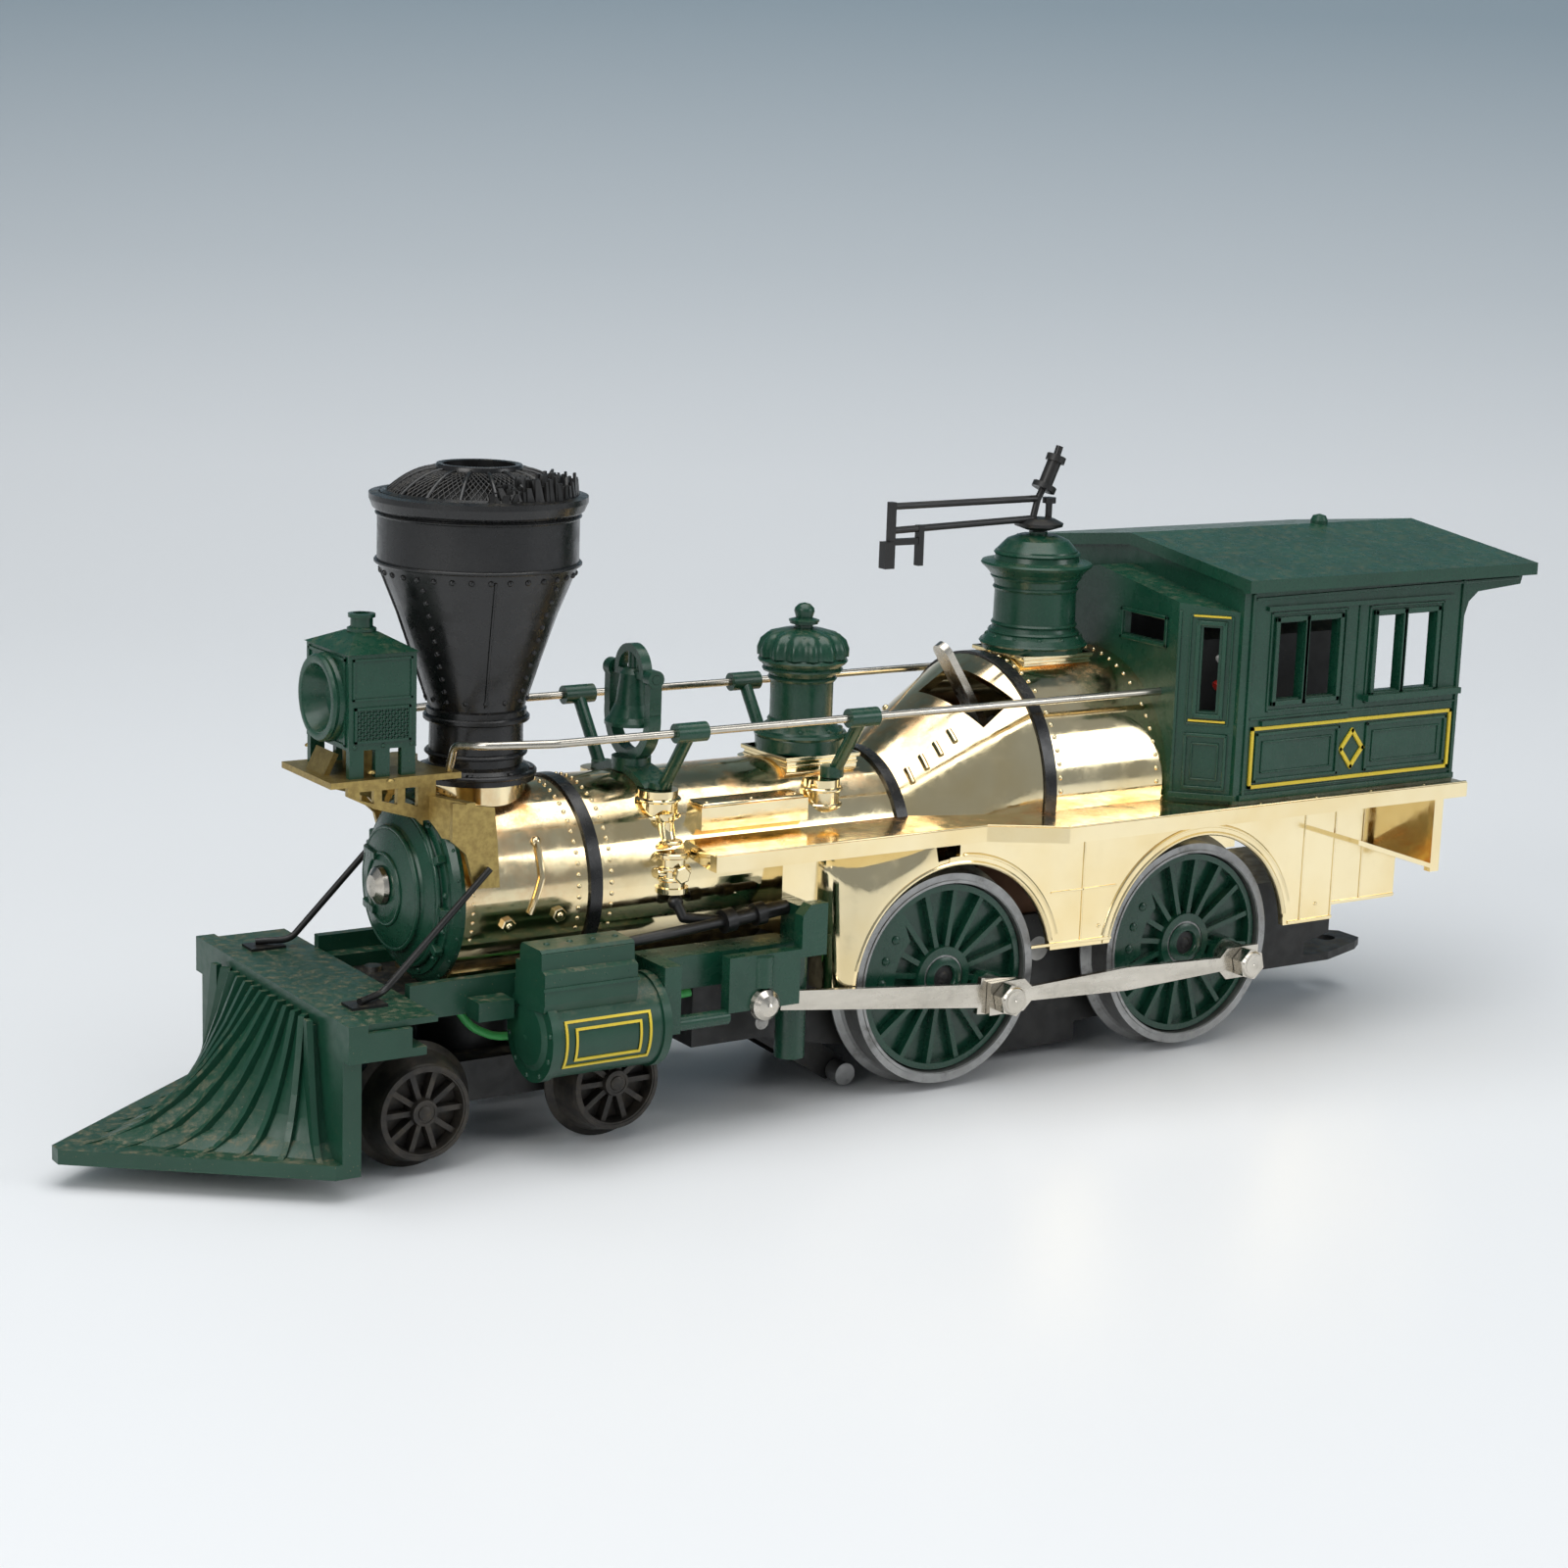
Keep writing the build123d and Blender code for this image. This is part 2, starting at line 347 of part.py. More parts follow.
# ---------------- headlight and bracket ----------------
PL_Z = 55.4
hb = bx(66.4, 86.6, -8.4, 8.4, PL_Z - 0.9, PL_Z)
def leg():
    web = py([(84.0, PL_Z - 0.3), (84.0, 53.2), (80.0, 51.2), (73.4, 49.2), (70.4, 46.0), (70.4, PL_Z - 0.3)], 7.5, 8.4)
    for q in ((82.2, 80.0, 51.9, 53.8, 53.8, 52.6), (78.8, 76.4, 51.5, 53.8, 53.8, 52.2), (75.2, 73.2, 50.9, 53.8, 53.8, 51.7)):
        web -= py([(q[0], q[3]), (q[1], q[4]), (q[1], q[2]), (q[0], q[5])], 5, 12)
    tr = extrude(Plane((70.8, 7.6, 0), x_dir=(0, 0, 1), z_dir=(-0.45, 0.893, 0)) * make_face(Polyline((46.2, 0.0), (54.6, 0.0), (52.0, -0.9), (46.2, -0.9), close=True)), amount=7.8)
    lg = py([(71.2, 52.6), (64.6, 51.4), (64.0, 46.0), (63.6, 39.7), (67.6, 39.9), (69.0, 45.0), (71.2, 47.0)], 14.5, 15.3)
    lk = pz([(70.6, 7.5), (71.8, 7.5), (69.0, 15.3), (67.6, 15.3)], 46.6, 52.4)
    return web + lg + lk
L_ = leg()
hb += L_ + mir(L_)
hb -= cz(50, 60, 78.0, 3.5, 0.8) + cz(50, 60, 78.0, -3.5, 0.8)
hb -= cx(60, 72.4, 0, BAR_Z, 14.35)
hb -= cz(50, 60, X_STACK, 0, 8.7)
hb += rod((84.6, -3.2, PL_Z - 0.5), (84.6, 3.2, PL_Z - 0.5), 0.4)
tab = extrude(Plane((84.9, 0, PL_Z - 0.2), x_dir=(0, 1, 0), z_dir=(-0.45, 0, 0.893)) * Rectangle(6.0, 0.8), amount=3.6)
N["headlight_bracket"] = hb + tab
HX0, HX1, HY, HZ0, HZ1 = 72.9, 83.3, 7.1, 59.4, 73.0
hh = bx(HX0, HX1, -HY, HY, HZ0, HZ1)
hc = (HX0 + HX1) / 2
hh += loft([Plane((hc, 0, HZ1)) * Rectangle(HX1 - HX0 + 0.6, 2 * HY + 0.6), Plane((hc, 0, HZ1 + 2.2)) * Rectangle(3.6, 3.6)], ruled=True)
hh += cz(HZ1 + 1.5, 77.6, hc, 0, 1.6)
hh += cx(HX1 - 0.1, 85.0, 0, 66.0, 5.8)
hh -= bx(HX0 + 1.2, HX1 - 1.2, -HY + 1.2, HY - 1.2, HZ0 - 1, HZ1 - 1.0)
hh -= rvx([(85.2, 0), (85.2, 5.0), (81.6, 3.0), (81.6, 0)], 0, 66.0)
for xx in (HX0 + 1.2, hc, HX1 - 1.2):
    for s in (1, -1):
        hh += bx(xx - 1.1, xx + 1.1, s * (HY - 1.1), s * HY, PL_Z, HZ0 + 0.5)
N["headlight_housing"] = hh - cz(77.0, 79, hc, 0, 0.9)
N["headlight_bracket"] += cz(PL_Z - 0.1, 61.0, hc, 0, 2.6) - cz(57.5, 62, hc, 0, 2.0)
cv = bx(-66, -104, -12, 12, FLOOR_Z, 69.5)
cv = chamfer(cv.edges().filter_by(Axis.X).group_by(Axis.Z)[-1], 2.5)
N["motor_cover"] = cv - bx(-67.2, -102.8, -10.8, 10.8, FLOOR_Z - 1, 66.5)
N["headlight_bulb"] = cz(58.0, 62.5, hc, 0, 1.95) + Pos(hc, 0, 64.6) * Sphere(2.6)

# ---------------- bell, stanchions, handrails ----------------
XB = 33.6
ZRAIL, YRAIL = 60.15, 16.85
saddle = cx(XB - 2.4, XB + 2.4, 0, BAR_Z, BAR_R + 1.2) - cx(XB - 4, XB + 4, 0, BAR_Z, BAR_R + 0.02)
saddle = saddle & (bx(XB - 3, XB + 3, -9.2, 9.2, 47, 60))
def post(x, yb, zb):
    p = rod((x, yb, zb), (x, YRAIL, ZRAIL), 1.0) + cx(x - 2.6, x + 2.6, YRAIL, ZRAIL, 1.45)
    p -= cx(x - 4, x + 4, YRAIL, ZRAIL, 0.62)
    return p
bs = saddle + cz(51.6, 53.6, XB, 0, 3.0)
bs += post(XB, 9.4, 50.3) + mir(post(XB, 9.4, 50.3))
bs += cz(49.2, 51.2, XB, 8.8, 1.7) + cz(49.2, 51.2, XB, -8.8, 1.7)
bs -= cz(40, 50.3, XB, 8.8, 3.6) + cz(40, 50.3, XB, -8.8, 3.6)
# harp frame in the YZ plane
harp = cx(XB - 1.0, XB + 1.0, 0, 59.8, 6.8) - cx(XB - 2, XB + 2, 0, 59.8, 5.2)
harp = harp & bx(XB - 2, XB + 2, -8, 8, 50, 61.0)
harp += bx(XB - 1.0, XB + 1.0, 5.2, 6.8, 60.9, 65.6) + bx(XB - 1.0, XB + 1.0, -6.8, -5.2, 60.9, 65.6)
harp += cy(5.1, 6.9, XB, 66.2, 1.35) + cy(-6.9, -5.1, XB, 66.2, 1.35)
harp -= cy(-9, 9, XB, 66.2, 0.7 + RUN)
bs += harp
bs += bx(XB - 1.0, XB + 1.0, -1.4, 1.4, 52.5, 54.2)
N["bell_stand"] = bs
bell = rvz([(0, 67.0), (1.3, 67.0), (2.0, 66.2), (2.3, 64.0), (2.7, 61.6), (3.6, 59.8), (4.2, 59.0), (4.2, 58.5), (3.5, 58.5), (2.4, 60.2), (1.8, 62.2), (1.5, 64.6), (0, 65.2)], XB, 0)
bell += cy(-6.95, 6.95, XB, 66.2, 0.7)
yoke = cx(XB - 0.8, XB + 0.8, 0, 66.4, 4.3) - cx(XB - 2, XB + 2, 0, 66.4, 3.1)
yoke = yoke & bx(XB - 2, XB + 2, -5, 5, 66.2, 72)
bell += yoke + bx(XB - 0.8, XB + 0.8, -4.3, 4.3, 65.7, 66.7) + cz(66.0, 69.8, XB, 0, 0.8)
N["bell"] = bell
rs = post(3.3, 9.9, 50.6) + mir(post(3.3, 9.9, 50.6))
rs += cz(49.7, 51.4, 3.6, 9.6, 1.8) + cz(49.7, 51.4, 3.6, -9.6, 1.8)
N["rear_stanchions"] = rs
def rail():
    pts = [(-55.4, YRAIL, ZRAIL), (56.0, YRAIL, ZRAIL), (66.0, 14.6, ZRAIL + 0.1), (68.0, 9.4, ZRAIL - 0.6), (67.8, 7.4, PL_Z + 0.27)]
    return wire_tube(pts, 0.6, [6.0, 3.0, 2.0])
try:
    R_ = rail()
except Exception as e:
    print("rail", e)
    R_ = rod((-55.4, YRAIL, ZRAIL), (60.0, YRAIL, ZRAIL), 0.6) + rod((60.0, YRAIL, ZRAIL), (67.5, 9.0, ZRAIL), 0.6) + rod((67.5, 9.0, ZRAIL), (67.5, 8.0, PL_Z), 0.6) + Pos(60, YRAIL, ZRAIL) * Sphere(0.6) + Pos(67.5, 9.0, ZRAIL) * Sphere(0.6)
N["handrails"] = R_ + mir(R_)

# ---------------- domes ----------------
N["sand_dome"] = rvz([(0, 52.4), (7.0, 52.4), (7.1, 54.4), (6.6, 55.6), (5.2, 56.6), (4.9, 57.2), (4.9, 63.6), (5.4, 64.6), (6.6, 66.0), (6.6, 66.6), (6.3, 67.0), (6.2, 68.8), (5.2, 70.4), (3.4, 71.0), (1.4, 71.2), (1.4, 71.8), (2.2, 72.0), (2.2, 72.5), (1.3, 72.8), (1.4, 74.2), (0.9, 75.0), (0, 75.2)], 3.3, 0)
XS = -41.4
N["steam_dome"] = rvz([(0.0, 65.4), (8.3, 65.4), (8.5, 66.6), (7.9, 67.6), (7.2, 68.2), (6.7, 69.2), (6.6, 75.6), (7.0, 77.0), (7.8, 78.0), (8.7, 78.9), (8.8, 79.6), (6.9, 79.9), (6.5, 81.6), (5.0, 83.2), (3.0, 84.0), (1.5, 84.1), (1.5, 84.5), (1.0, 84.5), (1.0, 80.0), (0, 80.0)], XS, 0)
# safety valve lever assembly, turning about the dome's axis
sv = rvz([(0, 84.75), (2.0, 84.75), (3.9, 85.4), (4.0, 85.9), (2.6, 86.6), (0, 86.9)], XS, 0)
sv += cz(80.4, 84.8, XS, 0, 0.95)
sv += rod((XS + 1.4, 0, 86.0), (XS + 0.4, 0, 90.0), 0.55) + rod((XS + 0.5, 0, 89.6), (XS - 0.6, 0, 91.6), 0.55)
sv += rod((XS - 0.5, 0, 91.2), (XS - 0.9, 0, 92.0), 2.0) + rod((XS - 0.8, 0, 91.8), (XS - 2.9, 0, 96.4), 1.15) + rod((XS - 2.6, 0, 95.6), (XS - 3.0, 0, 96.6), 1.6) + rod((XS - 2.9, 0, 96.4), (XS - 3.5, 0, 98.1), 0.6)
sv += rod((XS - 1.9, 0, 86.2), (XS - 1.9, 0, 89.2), 0.55) + cz(89.0, 89.9, XS - 1.9, 0, 1.1)
sv += rod((XS + 1.0, 0, 86.6), (-12.4, 0, 85.7), 0.55) + rod((XS + 0.8, 0, 89.8), (-12.4, 0, 89.5), 0.55)
sv += bx(-12.9, -11.9, -0.6, 0.6, 83.6, 90.2) + bx(-18.0, -12.4, -0.5, 0.5, 83.4, 84.4) + bx(-18.4, -17.4, -0.6, 0.6, 80.0, 86.4) + bx(-12.7, -10.9, -0.9, 0.9, 79.8, 84.0)
N["safety_valve_lever"] = sv

# ---------------- reverse unit and lever ----------------
ru = bx(-41.0, -25.0, -3.0, 13.0, 49.2, 50.4)
LA = (ca_, 0, -sa_)
P0 = Vector(*LV_P)
A0 = Vector(*LA)
def along(s, h=0.0, v=0.0): return P0 + A0 * s + Vector(0, h, 0) + Vector(*LV_D) * v
ru += extrude(Plane(along(-3.4), z_dir=A0) * Rectangle(5.2, 3.2), amount=1.6) + extrude(Plane(along(1.8), z_dir=A0) * Rectangle(5.2, 3.2), amount=1.6)
ru += bx(-37.5, -25.5, 2.4, 7.6, 49.6, 51.0)
ru -= extrude(Plane(along(-1.75, 0, -2.2), x_dir=(0, 1, 0), z_dir=LV_D) * Rectangle(0.01, 0.01), amount=0.01)
ru -= extrude(Plane(along(-1.3), z_dir=A0) * Circle(3.4), amount=2.6)
ru += extrude(Plane(along(-3.0), z_dir=A0) * Circle(0.9), amount=6.0)
N["reverse_unit"] = ru
lv = extrude(Plane(along(0, 0, 0), x_dir=(0, 1, 0), z_dir=LV_D) * Rectangle(3.6, 1.2), amount=18.0)
lv += extrude(Plane(along(-0.6), z_dir=A0) * Circle(2.2), amount=1.2)
lv += extrude(Plane(along(-0.6, 0, 18.0), z_dir=A0) * Circle(1.8), amount=1.2)
lv -= extrude(Plane(along(-2), z_dir=A0) * Circle(0.9 + RUN), amount=4)
N["reverse_lever"] = lv

# ---------------- cab ----------------
CW = 1.4
def yzpoly(zc, ze, ye, zb):
    return [(0, zc), (ye, ze), (ye, zb), (-ye, zb), (-ye, ze)]
def cabvol(off, roof_off, rear):
    f = pz([(X_CABF - off, 20.6 - off * 0.42), (X_CABC - off * 0.42 - 0.3, CAB_Y - off), (X_CABC - off * 0.42 - 0.3, -CAB_Y + off), (X_CABF - off, -20.6 + off * 0.42)], FLOOR_Z - (0 if off == 0 else 1), 82)
    f = f & px(yzpoly(78.4 - roof_off, 73.9 - roof_off, 28.3, 40), -66, -50)
    b = pz([(X_CABC + 0.6 - off, CAB_Y - off), (rear, CAB_Y - off), (rear, -CAB_Y + off), (X_CABC + 0.6 - off, -CAB_Y + off)], FLOOR_Z - (0 if off == 0 else 1), 84)
    b = b & px(yzpoly(81.5, 77.9, 28.3, 40), -140, -50)
    return f + b
cab = cabvol(0, 0, X_CABR) - cabvol(CW, 1.2, X_CABR - 6)
# side fascia under the rear roof overhang
fas = py([(X_CABR + 1, 70.5), (X_CABR, 71.0), (X_CABR - 0.8, 73.4), (X_CABR - 2.8, 75.0), (-122.6, 75.8), (-123.2, 77.9), (X_CABR + 1, 77.9)], CAB_Y - CW, CAB_Y)
cab += fas + mir(fas)
for x0, x1 in ((-69.1, -74.2), (-75.5, -81.6), (-90.4, -95.6), (-97.0, -103.2)):
    cab -= bx(x0, x1, -30, 30, 59.7, 72.1)
cab -= bx(-50, -58, 7.1, 17.5, 68.1, 71.9) + bx(-50, -58, -17.5, -7.1, 68.1, 71.9)
def bay_cut(s):
    pl = Plane(((X_CABF + X_CABC) / 2, s * (20.6 + CAB_Y) / 2, 64.6), x_dir=(0, 0, 1), z_dir=(cos(radians(45)), s * sin(radians(45)), 0))
    return extrude(pl * Rectangle(13.6, 2.6), amount=4, both=True)
cab -= bay_cut(1) + bay_cut(-1)
# boiler hole and handrail holes in the front wall
cab -= cx(-58, -50, 0, REAR_Z, REAR_R - 3.0)
cab -= cx(-58, -50, YRAIL, ZRAIL, 0.62) + cx(-58, -50, -YRAIL, ZRAIL, 0.62)
for s in (1, -1):
    cab += bx(-88.1, -109.1, s * (CAB_Y - 0.2), s * (CAB_Y + 1.5), 58.2, 59.2)
    cab += bx(-66.3, -85.0, s * (CAB_Y - 0.1), s * (CAB_Y + 0.5), 55.6, 56.4) + bx(-66.3, -107.1, s * (CAB_Y - 0.1), s * (CAB_Y + 0.5), 74.2, 74.9)
N["cab_shell"] = cab
roof = px([(0, ROOF_PK), (ROOF_Y, ROOF_EV), (ROOF_Y, ROOF_EV - 2.0), (ROOF_Y - 1.4, ROOF_EV - 2.2), (28.35, 77.95), (0, 81.55), (-28.35, 77.95), (-ROOF_Y + 1.4, ROOF_EV - 2.2), (-ROOF_Y, ROOF_EV - 2.0), (-ROOF_Y, ROOF_EV)], ROOF_X1, ROOF_X0)
roof += rvz([(0, 83.0), (1.5, 83.0), (1.5, 84.0), (1.1, 84.8), (0, 85.1)], -102.2, 0)
N["cab_roof"] = roof

# ---------------- pilot and deck ----------------
def psec(z, inset):
    t = 1 - max((z - 5.7) / 18.6, 0) ** (1 / 2.1)
    ws, xs, xc = 17.0 + 5.5 * t - inset * 0.7, 93.6 + 0.9 * t - inset * 0.5, 93.6 + 26.6 * t - inset
    xc = max(xc, xs + 0.05)
    return make_face(Polyline((91.0, -ws, z), (xs, -ws, z), (xc, 0, z), (xs, ws, z), (91.0, ws, z), close=True))
pil = loft([psec(z, 1.3) for z in (5.6, 7.5, 10.5, 14.5, 19.0, 23.4)], ruled=True)
for i in range(-6, 7):
    u = i / 6.0
    T = (93.6, 17.0 * u); F = (94.5 + 25.7 * (1 - abs(u)), 22.5 * u)
    d = Vector(F[0] - T[0], F[1] - T[1], 0)
    L = max(d.length, 0.5)
    pl = Plane((T[0], T[1], 0), x_dir=d, z_dir=Vector(0, 0, 1).cross(d).normalized() * -1)
    prof = [(-1.5, 5.0), (L, 5.0), (L, 5.7)]
    for k in range(1, 7):
        t = 1 - k / 6.0
        prof.append((L * t, 5.7 + 18.6 * (1 - t) ** 2.1))
    prof.append((-1.5, 24.3))
    sgn = pl.y_dir.Z
    q = extrude(pl * make_face(Polyline(*[(a, b * sgn) for a, b in prof], close=True)), amount=0.45, both=True)
    pil += q
pil += pz([(91.0, 24.8), (93.2, 24.8), (X_TIP, 1.2), (X_TIP, -1.2), (93.2, -24.8), (91.0, -24.8)], 3.6, 5.7)
pil += px([(24.8, 3.6), (24.8, 21.0), (17.2, 24.0), (-17.2, 24.0), (-24.8, 21.0), (-24.8, 3.6)], 89.4, 92.2)
pil += bx(89.4, 92.3, -26.9, 26.9, 20.5, 25.8)
pil += bx(82.8, 90.0, 16.2, 26.9, 20.5, 24.6) + bx(82.8, 90.0, -26.9, -16.2, 20.5, 24.6) + bx(80.6, 84, 21.5, 26.9, 20.5, 21.7) + bx(80.6, 84, -26.9, -21.5, 20.5, 21.7)
N["pilot"] = pil
fd = bx(66.4, 89.3, -16.1, 16.1, 22.2, 24.6) - bx(66.3, 80.6, -11.6, 11.6, 20, 25)
for s in (1, -1):
    fd += bx(34.0, 78.0, s * 14.6, s * 16.1, 22.0, 27.1)
    fd += bx(63.4, 69.0, s * 16.0, s * 19.8, 21.6, 24.4)
fd += bx(78.5, 89.3, -26.0, 26.0, 24.7, 25.6) - bx(70, 78.4, -30, 30, 24, 26)
fd += bx(78.5, 89.3, -16.1, 16.1, 24.5, 24.8)
N["front_deck"] = fd

# ---------------- cylinders ----------------
YC, ZC, RC = 22.0, 19.6, 6.6
def cylinder():
    c = cx(42.5, 62.0, YC, ZC, RC) + cx(60.6, 62.0, YC, ZC, RC + 0.35) + cx(42.5, 43.8, YC, ZC, RC + 0.35)
    c += rvx([(61.9, 0), (61.9, 5.4), (62.5, 4.4), (62.8, 0)], YC, ZC)
    c -= cx(43.8, 60.5, YC, ZC, RC - 1.4)
    c -= bx(42, 60.6, 10, 21.6, 10, 22.4) + bx(40, 64, 10, 16.15, 21.5, 24)
    c += px([(18.6, 23.6), (18.6, 30.0), (19.8, 30.0), (19.8, 32.2), (20.4, 32.8), (25.6, 32.8), (26.2, 32.2), (26.3, 30.0), (27.3, 29.6), (27.4, 25.2), (27.0, 24.0), (22.0, 23.4)], 47.6, 62.6)
    c += bx(49.0, 61.5, 16.15, 19.0, 23.0, 26.4)
    return c
C_ = cylinder()
N["cylinder_left"] = C_
N["cylinder_right"] = mir(C_)

# ---------------- crosshead guides ----------------
def guide():
    g = py([(31.3, 28.0), (31.3, 19.7), (19.0, 19.7), (19.0, 26.7), (14.4, 26.7), (14.4, 34.6), (17.4, 34.6), (18.8, 33.0), (18.8, 28.0)], 23.8, 26.0)
    g += rod((25.2, 25.2, 23.0), (25.2, 25.2, 27.6), 1.7)
    g += cx(31.0, 42.4, 25.0, 19.0, 1.15)
    g += bx(39.6, 42.4, 21.5, 26.2, 17.8, 28.0)
    g += bx(17.2, 42.4, 16.15, 21.8, 26.6, 28.0) + bx(14.4, 19.0, 17.15, 21.8, 26.6, 28.0) + bx(24.0, 42.4, 18.6, 21.8, 23.0, 26.8)
    g += bx(14.4, 17.0, 17.15, 21.8, 26.6, 33.5)
    g += cz(9.4, 27.0, 16.0, 19.2, 2.3)
    g -= cy(20, 28, 25.2, 20.4, 0.6)
    return g
G_ = guide()
N["crosshead_guide_left"] = G_
N["crosshead_guide_right"] = mir(G_)
gs = cy(23.9, 26.2, 25.2, 20.4, 0.6 - 0.001) + rvy([(0, 26.05), (2.5, 26.05), (2.3, 26.8), (1.6, 27.5), (0, 27.9)], 25.2, 20.4)
N["guide_studs"] = gs + mir(gs)
# feed pumps
def pump():
    p = rod((46.4, 19.6, 30.4), (27.0, 18.9, 31.7), 0.8) + rod((28.0, 18.9, 31.6), (17.1, 18.6, 32.6), 1.15)
    p += rod((28.4, 18.9, 31.6), (26.6, 18.8, 31.8), 1.8) + rod((22.8, 18.7, 32.0), (21.2, 18.7, 32.2), 1.75)
    p += rod((34.6, 15.8, 34.6), (34.0, 17.0, 32.4), 0.8) + rod((34.0, 17.0, 32.4), (27.6, 18.8, 31.6), 0.8) + Pos(34.0, 17.0, 32.4) * Sphere(0.8) + Pos(34.6, 15.6, 34.5) * Sphere(1.15)
    return p
P_ = pump()
N["feed_pumps"] = P_ + mir(P_)
# smokebox braces
def brace():
    b = wire_tube([(65.6, 16.1, 42.8), (82.0, 15.9, 26.7), (86.6, 18.0, 26.45)], 0.5, [3.0])
    b += bx(82.8, 88.2, 15.5, 19.2, 25.6, 26.0)
    return b
B_ = brace()
N["smokebox_braces"] = B_ + mir(B_)
# headlight lead: from the deck's underside back along the frame to the cylinder saddle
lead_pts = [(68.9, 12.4, 21.9), (66.4, 12.3, 18.6), (61.5, 12.0, 16.2), (55.0, 11.6, 17.1), (46.0, 11.2, 18.5), (38.0, 10.7, 18.2), (28.7, 10.7, 18.7)]
lp = [lead_pts[0]] + lead_pts[1:]
radii = []
for i in range(1, len(lp) - 1):
    a, b, c = Vector(*lp[i - 1]), Vector(*lp[i]), Vector(*lp[i + 1])
    th = radians((b - a).get_angle(c - b))
    radii.append(0.45 * min((b - a).length, (c - b).length) / tan(th / 2))
print("lead radii", [round(r, 1) for r in radii])
N["headlight_lead"] = wire_tube(lp, 0.6, radii)

for name, s in N.items():
    export_step(s, "parts/%s.step" % name)
print(len(N), "nodes")
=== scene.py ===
import bpy, bmesh, math, random
from math import sin, cos, pi, radians, sqrt, atan2, hypot
from mathutils import Vector, Matrix


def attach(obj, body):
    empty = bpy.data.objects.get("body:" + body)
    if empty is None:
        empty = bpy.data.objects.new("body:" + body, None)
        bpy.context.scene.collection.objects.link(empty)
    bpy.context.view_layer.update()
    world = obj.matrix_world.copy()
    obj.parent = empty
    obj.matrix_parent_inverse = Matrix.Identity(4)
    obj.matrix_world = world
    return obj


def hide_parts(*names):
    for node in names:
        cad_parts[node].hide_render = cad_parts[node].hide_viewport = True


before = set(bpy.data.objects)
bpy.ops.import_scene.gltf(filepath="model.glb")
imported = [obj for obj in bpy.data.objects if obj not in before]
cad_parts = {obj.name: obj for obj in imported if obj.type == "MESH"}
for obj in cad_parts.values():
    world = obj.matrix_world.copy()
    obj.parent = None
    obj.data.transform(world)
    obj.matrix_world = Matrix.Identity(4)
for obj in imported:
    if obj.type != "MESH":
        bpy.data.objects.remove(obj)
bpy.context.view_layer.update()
random.seed(7)
MM = 0.001
ROOT = "locomotive"

# ---------------------------------------------------------------- materials
def new_mat(name):
    m = bpy.data.materials.new(name)
    m.use_nodes = True
    nt = m.node_tree
    for n in list(nt.nodes):
        nt.nodes.remove(n)
    out = nt.nodes.new("ShaderNodeOutputMaterial")
    b = nt.nodes.new("ShaderNodeBsdfPrincipled")
    nt.links.new(b.outputs[0], out.inputs[0])
    return m, nt, b

class G:
    """Small helper around a node tree."""
    def __init__(s, nt):
        s.nt = nt
        s.tc = nt.nodes.new("ShaderNodeTexCoord")
        sep = nt.nodes.new("ShaderNodeSeparateXYZ")
        nt.links.new(s.tc.outputs["Normal"], sep.inputs[0])
        s.nz = sep.outputs[2]
        sep2 = nt.nodes.new("ShaderNodeSeparateXYZ")
        nt.links.new(s.tc.outputs["Object"], sep2.inputs[0])
        s.px, s.py, s.pz = sep2.outputs
    def noise(s, scale, detail=4, rough=0.55, stretch=None, out=0):
        n = s.nt.nodes.new("ShaderNodeTexNoise")
        n.inputs["Scale"].default_value = scale
        n.inputs["Detail"].default_value = detail
        n.inputs["Roughness"].default_value = rough
        src = s.tc.outputs["Object"]
        if stretch:
            mp = s.nt.nodes.new("ShaderNodeMapping")
            mp.inputs["Scale"].default_value = stretch
            s.nt.links.new(src, mp.inputs[0]); src = mp.outputs[0]
        s.nt.links.new(src, n.inputs["Vector"])
        return n.outputs[out]
    def vor(s, scale, feature="F1"):
        n = s.nt.nodes.new("ShaderNodeTexVoronoi")
        n.feature = feature
        n.inputs["Scale"].default_value = scale
        s.nt.links.new(s.tc.outputs["Object"], n.inputs["Vector"])
        return n.outputs["Distance"]
    def rng(s, v, a, b, c=0.0, d=1.0, smooth=True):
        n = s.nt.nodes.new("ShaderNodeMapRange")
        n.interpolation_type = "SMOOTHSTEP" if smooth else "LINEAR"
        s.nt.links.new(v, n.inputs["Value"])
        for k, x in zip(("From Min", "From Max", "To Min", "To Max"), (a, b, c, d)):
            n.inputs[k].default_value = x
        return n.outputs["Result"]
    def m(s, op, a, b):
        n = s.nt.nodes.new("ShaderNodeMath"); n.operation = op
        for i, x in enumerate((a, b)):
            if x is None: continue
            if isinstance(x, (int, float)): n.inputs[i].default_value = x
            else: s.nt.links.new(x, n.inputs[i])
        return n.outputs[0]
    def mix(s, f, a, b):
        n = s.nt.nodes.new("ShaderNodeMix"); n.data_type = "RGBA"
        for sock, x in ((n.inputs[0], f), (n.inputs[6], a), (n.inputs[7], b)):
            if isinstance(x, (int, float)): sock.default_value = x
            elif isinstance(x, (tuple, list)): sock.default_value = tuple(x) + (1.0,) if len(x) == 3 else tuple(x)
            else: s.nt.links.new(x, sock)
        return n.outputs[2]
    def bump(s, h, strength, dist, prev=None):
        n = s.nt.nodes.new("ShaderNodeBump")
        n.inputs["Strength"].default_value = strength
        n.inputs["Distance"].default_value = dist
        s.nt.links.new(h, n.inputs["Height"])
        if prev is not None: s.nt.links.new(prev, n.inputs["Normal"])
        return n.outputs[0]

DUST = (0.20, 0.165, 0.10)

